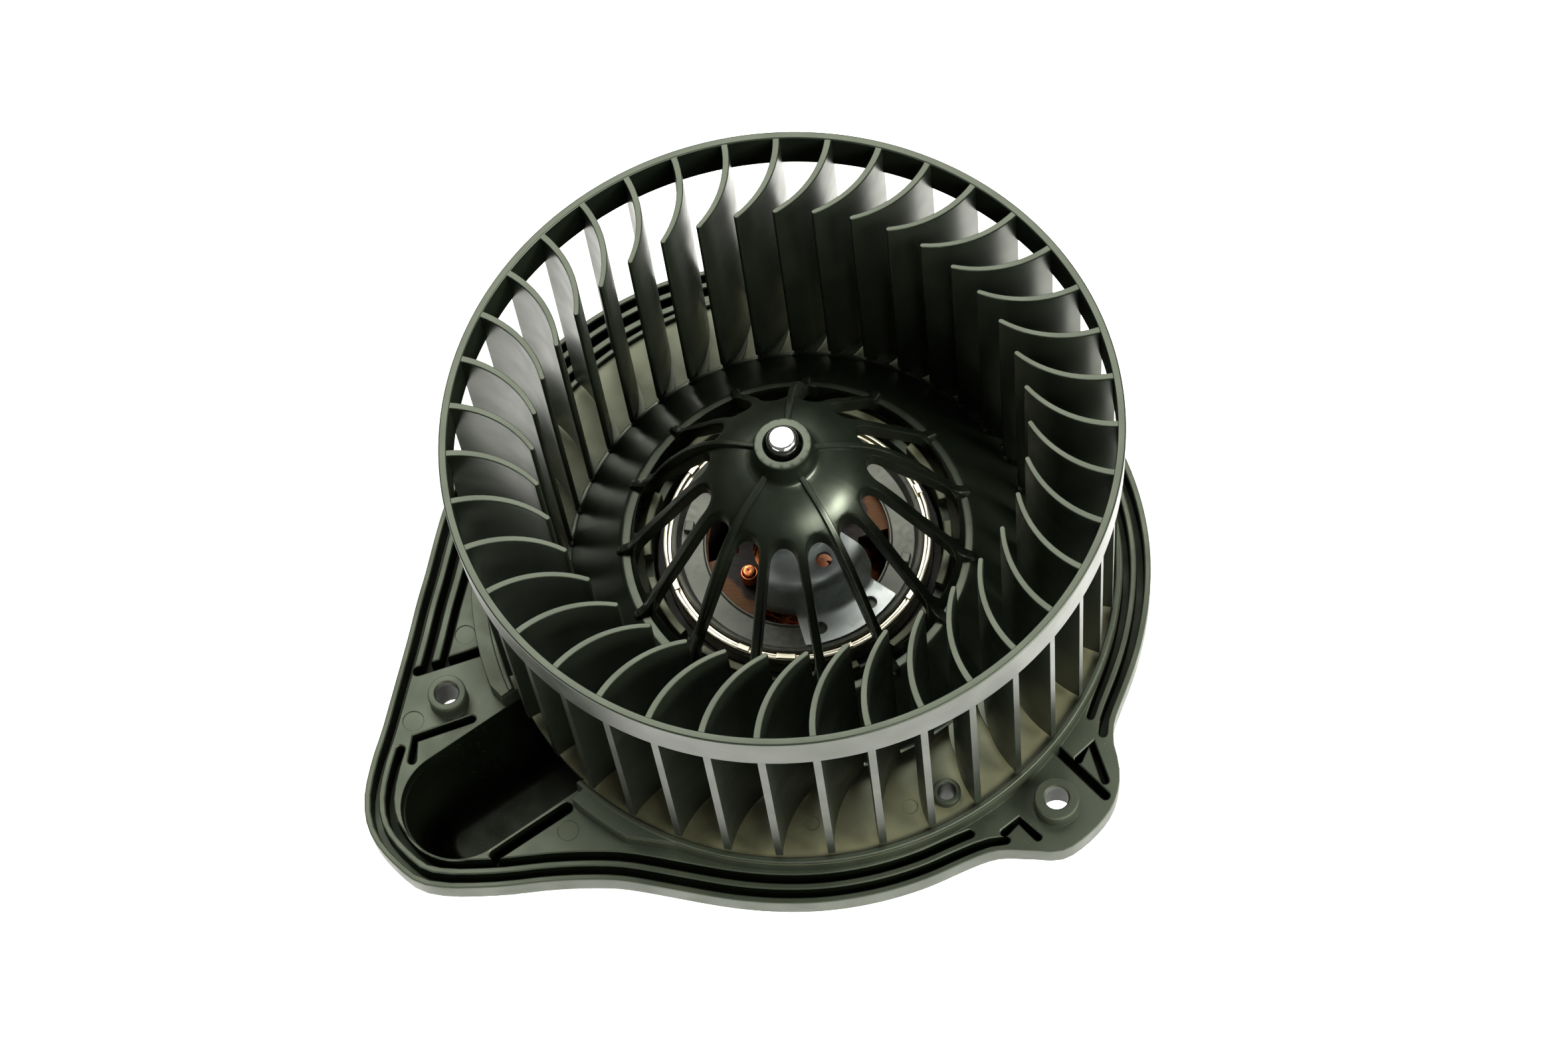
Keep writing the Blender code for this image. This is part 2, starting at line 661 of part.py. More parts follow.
def flange_plate():
    """The ribbed plate round the well."""
    edge = [polar(outline_radius(5.0 * step), 5.0 * step) for step in range(72)]
    plate = prism("plate", edge, PLATE_BOTTOM, PLATE_TOP)
    cuts = [cylinder("well", (0, 0), COLLAR_OUTER_R - 0.8, PLATE_BOTTOM - 1, PLATE_TOP + 1, 60)]
    for outline in flange_grooves():
        cuts.append(prism("groove", outline, GROOVE_BOTTOM, PLATE_TOP + 1))
    return combine(plate, cuts, "DIFFERENCE", "MANIFOLD")


def flange_duct():
    """The duct's outer shape, from the motor cover out to its round end."""
    duct = prism("duct", duct_outline(DUCT_HALF_WIDTH + DUCT_WALL, 20.0), DUCT_FLOOR, FLOOR_BOTTOM + 0.4)
    outside = turned(
        "outside",
        [(77.0, PLATE_TOP - 0.3), (140.0, PLATE_TOP - 0.3), (140.0, 60.0), (77.0, 60.0)],
        60,
    )
    inside = cylinder("inside", (0, 0), COVER_OUTER_R + 0.4, DUCT_FLOOR - 1, CUP_TOP, 48)
    return combine(duct, [outside, inside], "DIFFERENCE")


def duct_cuts():
    """The duct's passage, and its open mouth in the plate."""
    bore = duct_outline(DUCT_HALF_WIDTH, 10.0)
    passage = prism("passage", bore, DUCT_FLOOR + DUCT_WALL, FLOOR_BOTTOM - 0.3)
    kept_ring = cylinder("kept_ring", (0, 0), CUP_OUTER_R - 0.4, PLATE_BOTTOM + 0.6, CUP_TOP, 48)
    combine(passage, [kept_ring], "DIFFERENCE")
    lip = duct_outline(DUCT_HALF_WIDTH + DUCT_LIP, 60.0)
    mouth = prism("mouth", lip, PLATE_TOP - 3.0, COLLAR_TOP + 2)
    kept_floor = cylinder("kept_floor", (0, 0), WELL_R - 0.8, PLATE_BOTTOM - 30, COLLAR_TOP + 5, 48)
    combine(mouth, [kept_floor], "DIFFERENCE")
    return [passage, mouth]


def collar_shoulders():
    """The thicker stretches of the collar on both sides of the duct."""
    shoulders = []
    for start, end in SHOULDERS:
        outline = arc((0, 0), COLLAR_OUTER_R - 0.7, start, end, 4) + arc((0, 0), SHOULDER_R, end, start, 4)
        shoulders.append(prism("shoulder", outline, PLATE_TOP - 2.0, COLLAR_TOP - 0.4))
    return shoulders


def make_flange(plastic):
    flange = flange_centre()
    parts = [flange_plate(), flange_duct()] + collar_shoulders()
    for centre, radius in ((LEFT_BOSS, LEFT_BOSS_R), (RIGHT_BOSS, LUG_BOSS_R), (REAR_BOSS, LUG_BOSS_R)):
        parts.append(cylinder("boss", centre, radius, PLATE_BOTTOM - 1.0, MOUNT_BOSS_TOP, 16))
    parts.append(cylinder("drain", DRAIN_BOSS, 3.4, FLOOR_BOTTOM - 3.0, 59.8, 14))
    for degrees in EAR_DEGREES:
        centre = polar(EAR_R, degrees)
        parts.append(cylinder("ear", centre, 4.2, PLATE_BOTTOM + 0.3, FLOOR_BOTTOM + 0.5, 14))
    # The exact solver leaves open edges where the many ribs meet the collar.
    combine(flange, parts, "UNION", "MANIFOLD")

    cuts = duct_cuts()
    for centre in (LEFT_BOSS, RIGHT_BOSS, REAR_BOSS):
        cuts.append(cylinder("hole", centre, MOUNT_HOLE_R, PLATE_BOTTOM - 3, MOUNT_BOSS_TOP + 1, 12))
    cuts.append(cylinder("hole", DRAIN_BOSS, 2.1, FLOOR_BOTTOM - 5.0, 61.0, 10))
    for degrees in EAR_DEGREES:
        cuts.append(cylinder("hole", polar(EAR_R, degrees), 1.9, PLATE_BOTTOM - 1, FLOOR_BOTTOM - 1.0, 12))
    notches = []
    for index in range(NOTCH_COUNT):
        corners = [
            (CUP_INNER_R - 2, -3.0), (CUP_OUTER_R + 2, -3.0), (CUP_OUTER_R + 2, 3.0), (CUP_INNER_R - 2, 3.0),
        ]
        notches.append(turn_points(corners, 360.0 * index / NOTCH_COUNT + 5.0))
    cuts.append(prisms("notches", notches, CUP_TOP - NOTCH_DEPTH, CUP_TOP + 2))
    return finish(combine(flange, cuts, "DIFFERENCE", "MANIFOLD"), plastic)


# Cover, seals and screws ---------------------------------------------------


def make_cover(plastic):
    """The cup under the flange that holds the motor, with its duct window and plug socket."""
    profile = [
        (0.0, 0.0), (COVER_OUTER_R - 1.5, 0.0), (COVER_OUTER_R, 1.5), (COVER_OUTER_R, COVER_TOP),
        (COVER_INNER_R, COVER_TOP), (COVER_INNER_R, COVER_FLOOR + 1.0), (COVER_INNER_R - 1.0, COVER_FLOOR),
        (0.0, COVER_FLOOR),
    ]
    body = turned("motor_cover", profile, 40)
    extras = []
    for degrees in EAR_DEGREES:
        ear = arc((EAR_R, 0.0), 4.2, -90, 90, 8)
        ear = turn_points([(34.6, -4.2)] + ear + [(34.6, 4.2)], degrees)
        extras.append(prism("ear", ear, COVER_TOP - 4.0, COVER_TOP))
    extras.append(box("socket", (34.8, -9.0, 8.0), (52.0, 9.0, 22.0), CONNECTOR_DEG))
    seat_r = BEARING_SEAT_R + 1.6 + GAP
    seat_low, seat_high = COVER_FLOOR - 0.4, 5.6
    seat = [(seat_r, seat_low), (seat_r + 1.6, seat_low), (seat_r + 1.6, seat_high), (seat_r, seat_high)]
    extras.append(turned("seat", seat, 20))
    combine(body, extras, "UNION")
    cuts = [
        cylinder("inside", (0, 0), COVER_INNER_R, 6.0, COVER_TOP + 1, 40),
        box("window", (25.0, -12.0, 27.0), (45.0, 12.0, 43.0), DUCT_DEG),
        box("plug", (38.0, -7.4, 9.6), (56.0, 7.4, 20.4), CONNECTOR_DEG),
    ]
    for degrees in EAR_DEGREES:
        cuts.append(cylinder("hole", polar(EAR_R, degrees), 2.1, COVER_TOP - 6.0, COVER_TOP + 1, 16))
    for side in (-3.6, 3.6):
        cuts.append(box("blade", (30.0, side - 1.05, 12.4), (40.0, side + 1.05, 17.6), CONNECTOR_DEG))
    combine(body, cuts, "DIFFERENCE")
    return finish(body, plastic)


def make_terminal(name, side, brass):
    """A flat blade through the socket's back wall."""
    low, high = 12.7, 17.3
    blade = box(name, (33.5, side - 0.4, low), (47.0, side + 0.4, high), CONNECTOR_DEG)
    return finish(blade, brass)


def make_isolator(name, bottom, top, inner, outer, rubber):
    middle = (bottom + top) / 2
    profile = [
        (inner, bottom), (outer - 0.5, bottom), (outer, middle - 0.6), (outer, middle + 0.6),
        (outer - 0.5, top), (inner, top),
    ]
    return finish(turned(name, profile, 36), rubber)


def make_cover_screw(name, degrees, steel):
    """A pan-head screw from below into the flange's boss."""
    head_top = COVER_TOP - 4.0 - GAP
    thread_top = FLOOR_BOTTOM - 2.0
    profile = [
        (0.0, head_top - 2.2), (2.4, head_top - 2.2), (3.4, head_top - 1.2), (3.4, head_top),
        (1.55, head_top), (1.55, thread_top - 1.0), (0.6, thread_top), (0.0, thread_top),
    ]
    body = turned(name, profile, 12, centre=polar(EAR_R, degrees))
    centre = polar(EAR_R, degrees)
    cross = []
    for long_x, long_y in ((1.7, 0.35), (0.35, 1.7)):
        cross.append(
            [
                (centre[0] - long_x, centre[1] - long_y), (centre[0] + long_x, centre[1] - long_y),
                (centre[0] + long_x, centre[1] + long_y), (centre[0] - long_x, centre[1] + long_y),
            ]
        )
    tools = [prism("slot", outline, head_top - 4.0, head_top - 1.1) for outline in cross]
    return finish(combine(body, tools, "DIFFERENCE"), steel)


def main():
    clear_scene()
    black_plastic = material("black_plastic", (0.03, 0.034, 0.03), 0.42)
    polished_steel = material("polished_steel", (0.72, 0.72, 0.7), 0.2, 1.0)
    can_steel = material("can_steel", (0.6, 0.6, 0.57), 0.3, 1.0)
    zinc = material("zinc_plate", (0.62, 0.66, 0.68), 0.34, 1.0)
    core_steel = material("core_steel", (0.22, 0.22, 0.23), 0.5, 1.0)
    copper = material("copper", (0.68, 0.26, 0.11), 0.32, 1.0)
    brass = material("brass", (0.71, 0.55, 0.25), 0.32, 1.0)
    bronze = material("bronze", (0.45, 0.33, 0.18), 0.5, 1.0)
    ferrite = material("ferrite", (0.09, 0.09, 0.1), 0.65)
    carbon = material("carbon", (0.05, 0.05, 0.05), 0.55)
    resin = material("amber_resin", (0.32, 0.17, 0.05), 0.45)
    rubber = material("rubber", (0.03, 0.03, 0.03), 0.8)

    make_impeller(black_plastic)
    make_shaft(polished_steel)
    make_armature_core(core_steel)
    make_windings(copper)
    make_commutator(copper)
    make_washer("thrust_washer_upper", 80.4, 81.4, 6.7, resin)
    make_washer("thrust_washer_lower", 13.3, 14.3, 6.7, resin)

    make_can(can_steel)
    make_magnet("magnet_a", BRACKET_ARM_DEG, ferrite)
    make_magnet("magnet_b", BRACKET_ARM_DEG + 180, ferrite)
    make_magnet_spring("magnet_spring_a", BRACKET_ARM_DEG + 90, can_steel)
    make_magnet_spring("magnet_spring_b", BRACKET_ARM_DEG - 90, can_steel)
    make_end_bracket(zinc)
    make_bearing("upper_bearing", UPPER_BEARING_Z, bronze)
    make_bearing("lower_bearing", LOWER_BEARING_Z, bronze)
    make_retainer("upper_retainer", 80.4, BEARING_SEAT_R - GAP, polished_steel)
    make_retainer("lower_retainer", 13.3, 9.6, polished_steel)
    make_brush_card(resin)
    for name, degrees in (("a", BRUSH_DEG), ("b", BRUSH_DEG + 180)):
        make_brush_holder("brush_holder_" + name, degrees, brass)
        make_brush("brush_" + name, degrees, carbon)
        make_brush_spring("brush_spring_" + name, degrees, polished_steel)
    make_choke("choke_a", -147.0, copper)
    make_choke("choke_b", 33.0, copper)

    make_flange(black_plastic)
    make_cover(black_plastic)
    make_terminal("terminal_a", -3.6, brass)
    make_terminal("terminal_b", 3.6, brass)
    make_isolator("upper_isolator", 60.0, 66.0, CAN_OUTER_R + GAP, CUP_INNER_R - GAP, rubber)
    make_isolator("lower_isolator", 19.5, 25.5, CAN_OUTER_R + GAP, COVER_INNER_R - GAP, rubber)
    for index, degrees in enumerate(EAR_DEGREES):
        make_cover_screw(f"cover_screw_{index + 1}", degrees, polished_steel)


main()
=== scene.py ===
import math

import bmesh
import bpy
from mathutils import Matrix, Vector


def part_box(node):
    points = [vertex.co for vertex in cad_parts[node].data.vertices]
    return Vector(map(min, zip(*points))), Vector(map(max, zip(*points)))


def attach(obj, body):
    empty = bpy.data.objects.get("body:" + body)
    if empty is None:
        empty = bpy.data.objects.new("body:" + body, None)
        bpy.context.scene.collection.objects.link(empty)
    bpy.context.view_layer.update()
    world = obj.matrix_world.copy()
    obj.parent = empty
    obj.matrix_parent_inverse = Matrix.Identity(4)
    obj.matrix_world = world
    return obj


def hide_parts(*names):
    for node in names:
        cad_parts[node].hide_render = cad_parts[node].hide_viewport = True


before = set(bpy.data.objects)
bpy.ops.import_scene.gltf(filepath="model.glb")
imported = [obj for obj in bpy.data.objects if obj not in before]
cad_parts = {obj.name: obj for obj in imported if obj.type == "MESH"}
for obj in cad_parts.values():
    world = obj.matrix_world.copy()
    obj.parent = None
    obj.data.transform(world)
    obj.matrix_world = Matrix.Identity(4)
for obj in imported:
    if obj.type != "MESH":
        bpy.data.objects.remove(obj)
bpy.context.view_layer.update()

# Shapes are worked out in millimetres and scaled to metres as each mesh is finished.
MM = 0.001

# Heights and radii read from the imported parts
WHEEL_LOW, WHEEL_HIGH = (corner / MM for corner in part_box("impeller"))
FLANGE_LOW, FLANGE_HIGH = (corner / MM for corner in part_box("mounting_flange"))
CAN_LOW, CAN_HIGH = (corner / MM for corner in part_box("motor_can"))
SHAFT_LOW, SHAFT_HIGH = (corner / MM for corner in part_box("shaft"))
COVER_TOP = (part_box("motor_cover")[1] / MM).z

# Wheel
WHEEL_TOP = WHEEL_HIGH.z
BLADE_BOTTOM = WHEEL_LOW.z
RING_INNER_R = 76.0
RING_OUTER_R = 77.95
RING_HEIGHT = 11.0
BLADE_COUNT = 39
BLADE_FIRST_DEG = 94.9
BLADE_ARC_R = 26.5
BLADE_SWEEP_DEG = 51.3
BLADE_ROOT_THICKNESS = 1.75
BLADE_TIP_THICKNESS = 1.35
DISC_EDGE_R = 57.2
DISC_EDGE_TOP = BLADE_BOTTOM + 1.3
SPOKE_COUNT = 15
SPOKE_FIRST_DEG = 9.9
SPOKE_HALF_WIDTH = 1.15
RIB_EVERY = 3
RIB_WIDTH = 1.5
WINDOW_INNER_R = 18.3
WINDOW_OUTER_R = 39.2
WINDOW_CORNER_R = 2.6
EDGE_ROUND = 0.4
BOSS_TOP = 123.3

# Motor
SHAFT_R = 3.75
CAN_R = CAN_HIGH.x
CAN_TOP = CAN_HIGH.z
CAN_INNER_R = 30.6
VENT_COUNT = 6
CRIMPS = (
    (-119.0, 2.6), (-100.0, 4.2), (-73.0, 2.4), (-36.0, 2.4), (-163.0, 2.4), (138.0, 2.6), (60.0, 2.6),
    (17.0, 2.4), (100.0, 2.4),
)
SLOT_COUNT = 12
SLOT_PITCH_DEG = 30.0
WINDING_WIRE_R = 0.48
CHOKE_CENTRE_R = 14.6
CHOKE_TURNS = 6
CHOKE_WIRE_R = 0.34
SPRING_TURNS = 5
SPRING_START_R = 19.6
SPRING_LENGTH = 5.4
SPRING_COIL_R = 1.2
SPRING_WIRE_R = 0.24

# Flange
PLATE_TOP = 53.0
PLATE_BOTTOM = 46.5
GROOVE_BOTTOM = 47.3
WELL_R = 76.2
FLOOR_TOP = 57.6
FLOOR_BOTTOM = 55.6
COLLAR_TOP = 59.0
COLLAR_OUTER_R = 77.6
SHOULDER_R = 81.2
SHOULDERS = ((-205.0, -163.5), (-137.5, -126.0))
CUP_INNER_R = 35.2
CUP_OUTER_R = 37.2
CUP_TOP = FLANGE_HIGH.z
NOTCH_COUNT = 10
NOTCH_DEPTH = 4.0
NOTCH_FIRST_DEG = 5.0
NOTCH_HALF_WIDTH = 3.0
MOUNT_BOSS_TOP = 58.0
LEFT_BOSS = (-88.5, -23.5)
RIGHT_BOSS = (54.3, -67.6)
REAR_BOSS = (27.8, 85.6)
LEFT_BOSS_R = 4.7
LUG_BOSS_R = 5.3
MOUNT_HOLE_R = 2.85
DRAIN_BOSS = (28.7, -63.7)
DRAIN_BOSS_R = 3.4
DRAIN_HOLE_R = 2.1
DRAIN_TOP = 59.8
PLATE_MARKS = (((-83.8, -6.4), 2.5), ((-97.6, -27.8), 2.6), ((-61.8, -60.5), 2.6))
FLOOR_MARKS = ((-3.7, -67.2), (19.8, -65.7))
OUTLINE_SHRINK = 0.2
OUTLINE = (
    (-171, 102.8), (-165, 109.0), (-161, 114.8), (-157, 120.2), (-153, 122.9), (-148, 122.3),
    (-144, 119.8), (-138, 108.9), (-133, 99.8), (-128, 93.5), (-123, 89.6), (-115, 87.0),
    (-105, 86.0), (-90, 85.7), (-75, 85.5), (-68, 85.5), (-63, 87.0), (-59, 91.5),
    (-56, 95.8), (-53, 97.2), (-47, 97.2), (-43, 95.2), (-40, 92.0), (-37, 87.6),
    (-33, 85.2), (-20, 84.8), (0, 85.4), (20, 85.5), (45, 86.0), (57, 88.5),
    (63, 96.0), (69, 99.6), (75, 99.6), (81, 96.0), (87, 90.6), (95, 89.6),
    (110, 91.2), (130, 91.8), (150, 92.0), (165, 92.6), (172, 93.6), (177, 95.4), (183, 98.3),
)
OUTLINE_THREE_TURNS = [(at + turn, radius) for turn in (-360.0, 0.0, 360.0) for at, radius in OUTLINE]
DUCT_DEG = -150.0
DUCT_HALF_WIDTH = 13.6
DUCT_END_U = 101.0
DUCT_FLOOR = FLANGE_LOW.z
DUCT_WALL = 2.0
DUCT_LIP = 0.6
EAR_DEGREES = (-90.0, 30.0, 150.0)
EAR_R = 41.2
EAR_BOSS_R = 4.2
COVER_R = 36.0
COVER_INNER_R = 34.0
SOCKET_DEG = 60.0

# Studio, in metres
LIGHT_AIM = Vector((0.0, 0.0, 0.08))
CAMERA_SPOT = (0.0183, -0.3863, 0.8731)
CAMERA_HEADING_DEG = 3.085
CAMERA_TILT_DEG = 63.905
CAMERA_ROLL_DEG = 9.11


# Materials -------------------------------------------------------------------


class Shade:
    """A Principled material and short ways to add nodes to it."""

    def __init__(self, name, colour, roughness, metallic=0.0):
        self.made = bpy.data.materials.new(name)
        self.made.use_nodes = True
        self.tree = self.made.node_tree
        self.shader = self.tree.nodes["Principled BSDF"]
        self.shader.inputs["Base Color"].default_value = (*colour, 1.0)
        self.shader.inputs["Roughness"].default_value = roughness
        self.shader.inputs["Metallic"].default_value = metallic
        self.place = self.node("TexCoord").outputs["Object"]

    def node(self, kind):
        return self.tree.nodes.new("ShaderNode" + kind)

    def link(self, output, target):
        self.tree.links.new(output, target)

    def stretched(self, scale):
        mapping = self.node("Mapping")
        mapping.inputs["Scale"].default_value = scale
        self.link(self.place, mapping.inputs["Vector"])
        return mapping.outputs["Vector"]

    def noise(self, scale, detail=3.0, stretch=None, distortion=0.0):
        node = self.node("TexNoise")
        node.inputs["Scale"].default_value = scale
        node.inputs["Detail"].default_value = detail
        node.inputs["Distortion"].default_value = distortion
        self.link(self.stretched(stretch) if stretch else self.place, node.inputs["Vector"])
        return node.outputs["Fac"]

    def cells(self, scale):
        node = self.node("TexVoronoi")
        node.inputs["Scale"].default_value = scale
        self.link(self.place, node.inputs["Vector"])
        return node

    def ramp(self, value, low, high, from_value, to_value):
        node = self.node("MapRange")
        node.inputs["From Min"].default_value = low
        node.inputs["From Max"].default_value = high
        node.inputs["To Min"].default_value = from_value
        node.inputs["To Max"].default_value = to_value
        self.link(value, node.inputs["Value"])
        return node.outputs["Result"]

    def arithmetic(self, operation, *values):
        """A Math node fed with plain numbers or with other nodes' outputs."""
        node = self.node("Math")
        node.operation = operation
        for socket, value in zip(node.inputs, values):
            if isinstance(value, float):
                socket.default_value = value
            else:
                self.link(value, socket)
        return node.outputs["Value"]

    def mix(self, factor, first, second):
        node = self.node("Mix")
        node.data_type = "RGBA"
        self.link(factor, node.inputs["Factor"])
        for socket, value in ((node.inputs["A"], first), (node.inputs["B"], second)):
            if isinstance(value, tuple):
                socket.default_value = (*value, 1.0)
            else:
                self.link(value, socket)
        return node.outputs["Result"]

    def colour(self, output):
        self.link(output, self.shader.inputs["Base Color"])

    def rough(self, output):
        self.link(output, self.shader.inputs["Roughness"])

    def relief(self, heights, bevel=None):
        """Stack bump maps of (height, strength, depth in mm), over rounded edges if asked."""
        normal = None
        if bevel:
            edge = self.node("Bevel")
            edge.samples = 4
            edge.inputs["Radius"].default_value = bevel * MM
            normal = edge.outputs["Normal"]
        for height, strength, depth in heights:
            bump = self.node("Bump")
            bump.inputs["Strength"].default_value = strength
            bump.inputs["Distance"].default_value = depth * MM
            self.link(height, bump.inputs["Height"])
            if normal:
                self.link(normal, bump.inputs["Normal"])
            normal = bump.outputs["Normal"]
        if normal:
            self.link(normal, self.shader.inputs["Normal"])


def black_plastic(name, dark, light, rough, dust_and_light=0.0, bevel=0.25, grain=0.15, shine=0.5):
    """Filled black plastic: a fine spark-eroded grain, cloudy flow marks and a little dust, with a lighter
    film on the well floor and motor ring tops that is partly dust and partly painted light.
    """
    shade = Shade(name, dark, rough[0])
    shade.shader.inputs["Specular Tint"].default_value = (0.87, 0.97, 0.77, 1.0)
    shade.shader.inputs["Specular IOR Level"].default_value = shine
    cloud = shade.noise(38.0, 4.0, distortion=0.6)
    tint = shade.mix(shade.ramp(cloud, 0.35, 0.7, 0.0, 1.0), dark, light)
    if dust_and_light:
        tint = dust_and_lit_tops(shade, tint, dust_and_light)
    shade.colour(tint)
    shade.rough(shade.ramp(shade.noise(120.0, 5.0), 0.3, 0.7, *rough))
    fine = shade.noise(2600.0, 2.0)
    waves = shade.noise(180.0, 2.0)
    shade.relief([(waves, grain * 0.8, 0.02), (fine, grain, 0.008)], bevel)
    return shade.made


def dust_and_lit_tops(shade, tint, dust_and_light):
    """Dust specks in patches, and a lighter film on the well's floor and on the ring round the motor: partly
    dust, partly painted light for the overhead lamps falling on these flat tops.
    """
    near = shade.ramp(shade.cells(900.0).outputs["Distance"], 0.05, 0.11, dust_and_light, 0.0)
    where = shade.ramp(shade.noise(55.0, 2.0), 0.45, 0.7, 0.0, 1.0)
    tint = shade.mix(shade.arithmetic("MULTIPLY", near, where), tint, (0.26, 0.25, 0.17))
    split = shade.node("SeparateXYZ")
    shade.link(shade.place, split.inputs["Vector"])
    # Lighter film on the flat tops: partly dust, partly painted light where the overhead lamps fall.
    dust_and_light_film = shade.ramp(shade.noise(140.0, 4.0), 0.3, 0.7, 0.55, 1.0)
    for surface in (FLOOR_TOP, CUP_TOP):
        level = shade.arithmetic("COMPARE", split.outputs["Z"], (surface - 0.1) * MM, 0.15 * MM)
        tint = shade.mix(shade.arithmetic("MULTIPLY", level, dust_and_light_film), tint, (0.085, 0.082, 0.045))
    return tint


def bright_metal(name, colour, rough, stretch=None, bevel=0.0):
    """Plated or drawn metal with faint streaks and stains."""
    shade = Shade(name, colour, rough[0], 1.0)
    stain = shade.noise(90.0, 4.0, distortion=0.8)
    dull = tuple(part * 0.72 for part in colour)
    shade.colour(shade.mix(shade.ramp(stain, 0.42, 0.75, 0.0, 1.0), colour, dull))
    streak = shade.noise(700.0, 4.0, stretch)
    shade.rough(shade.ramp(streak, 0.3, 0.7, *rough))
    shade.relief([(streak, 0.08, 0.004)], bevel)
    return shade.made


def zinc_metal():
    """Zinc plate with a soft spangle."""
    shade = Shade("zinc", (0.62, 0.67, 0.68), 0.3, 1.0)
    spangle = shade.cells(330.0)
    grey = shade.node("RGBToBW")
    shade.link(spangle.outputs["Color"], grey.inputs["Color"])
    shade.colour(shade.mix(grey.outputs["Val"], (0.6, 0.65, 0.65), (0.74, 0.78, 0.77)))
    shade.rough(shade.ramp(shade.noise(260.0, 4.0), 0.3, 0.7, 0.4, 0.55))
    shade.relief([(shade.noise(900.0, 2.0), 0.1, 0.006)], 0.25)
    return shade.made


def amber_board():
    """Phenolic paper board: brown cloth grain, black with carbon dust near the commutator."""
    shade = Shade("amber_board", (0.3, 0.14, 0.035), 0.3)
    weave = shade.noise(420.0, 3.0, (1.0, 6.0, 1.0))
    board = shade.mix(weave, (0.2, 0.075, 0.006), (0.08, 0.026, 0.003))
    flat = shade.node("VectorMath")
    flat.operation = "MULTIPLY"
    flat.inputs[1].default_value = (1.0, 1.0, 0.0)
    shade.link(shade.place, flat.inputs[0])
    length = shade.node("VectorMath")
    length.operation = "LENGTH"
    shade.link(flat.outputs["Vector"], length.inputs[0])
    wavy = shade.arithmetic("MULTIPLY_ADD", shade.noise(110.0, 2.0), 0.011, length.outputs["Value"])
    worn = shade.ramp(wavy, 0.0235, 0.0245, 0.0, 1.0)
    shade.colour(shade.mix(worn, (0.012, 0.007, 0.005), board))
    shade.shader.inputs["Specular IOR Level"].default_value = 0.3
    shade.rough(shade.ramp(weave, 0.3, 0.7, 0.45, 0.65))
    shade.relief([(weave, 0.2, 0.01)])
    return shade.made


def enamelled_copper():
    shade = Shade("enamelled_copper", (0.78, 0.25, 0.08), 0.22, 1.0)
    turns = shade.noise(300.0, 3.0)
    shade.colour(shade.mix(turns, (0.86, 0.3, 0.1), (0.5, 0.13, 0.05)))
    shade.rough(shade.ramp(turns, 0.3, 0.7, 0.16, 0.34))
    shade.shader.inputs["Coat Weight"].default_value = 0.6
    shade.shader.inputs["Coat Roughness"].default_value = 0.1
    shade.relief([(turns, 0.2, 0.03)])
    return shade.made


def matt_solid(name, dark, light, roughness, scale, depth, metallic=0.0):
    """Pressed, cast or stained material: ferrite, carbon, bronze, rubber or dull plating."""
    shade = Shade(name, dark, roughness, metallic)
    grain = shade.noise(scale, 5.0)
    shade.colour(shade.mix(shade.ramp(grain, 0.35, 0.65, 0.0, 1.0), dark, light))
    shade.rough(shade.ramp(grain, 0.2, 0.8, roughness - 0.1, roughness + 0.15))
    shade.relief([(grain, 0.4, depth)], 0.15)
    return shade.made


def floor_material():
    shade = Shade("floor", (0.93, 0.93, 0.92), 0.55)
    shade.colour(shade.mix(shade.noise(3.0, 2.0), (0.95, 0.95, 0.94), (0.92, 0.92, 0.91)))
    shade.shader.inputs["Emission Color"].default_value = (1.0, 1.0, 0.98, 1.0)
    shade.shader.inputs["Emission Strength"].default_value = 0.5
    return shade.made


# Plan and profile helpers ----------------------------------------------------


def polar(radius, degrees):
    angle = math.radians(degrees)
    return (radius * math.cos(angle), radius * math.sin(angle))


def arc(centre, radius, start_deg, end_deg, steps):
    points = []
    for step in range(steps + 1):
        x, y = polar(radius, start_deg + (end_deg - start_deg) * step / steps)
        points.append((centre[0] + x, centre[1] + y))
    return points


def turn_points(points, degrees):
    angle = math.radians(degrees)
    cosine, sine = math.cos(angle), math.sin(angle)
    return [(x * cosine - y * sine, x * sine + y * cosine) for x, y in points]


def soften(points, radius, steps=3, least_turn_deg=12.0):
    """Round the corners of a closed line, by less where its sides are short."""
    softened = []
    count = len(points)
    for index in range(count):
        before = Vector(points[index - 1])
        here = Vector(points[index])
        after = Vector(points[(index + 1) % count])
        arriving, leaving = here - before, after - here
        turn = abs(math.degrees(arriving.angle_signed(leaving, 0.0)))
        if turn < least_turn_deg:
            softened.append(tuple(here))
            continue
        reach = radius * math.tan(math.radians(min(turn, 150.0)) / 2)
        reach = min(reach, arriving.length * 0.45, leaving.length * 0.45)
        start = here - arriving.normalized() * reach
        end = here + leaving.normalized() * reach
        for step in range(steps + 1):
            t = step / steps
            point = start * (1 - t) ** 2 + here * 2 * t * (1 - t) + end * t**2
            softened.append(tuple(point))
    return softened


def smooth_value(table, x):
    """A smooth cubic through (x, y) pairs in rising x."""
    last = len(table) - 1
    if x <= table[0][0]:
        return table[0][1]
    if x >= table[last][0]:
        return table[last][1]
    index = 0
    while x > table[index + 1][0]:
        index += 1
    x0, y0 = table[index]
    x1, y1 = table[index + 1]
    span = x1 - x0

    def slope(at):
        left = table[max(at - 1, 0)]
        right = table[min(at + 1, last)]
        return (right[1] - left[1]) / (right[0] - left[0])

    t = (x - x0) / span
    return (
        (2 * t**3 - 3 * t**2 + 1) * y0
        + (t**3 - 2 * t**2 + t) * span * slope(index)
        + (3 * t**2 - 2 * t**3) * y1
        + (t**3 - t**2) * span * slope(index + 1)
    )


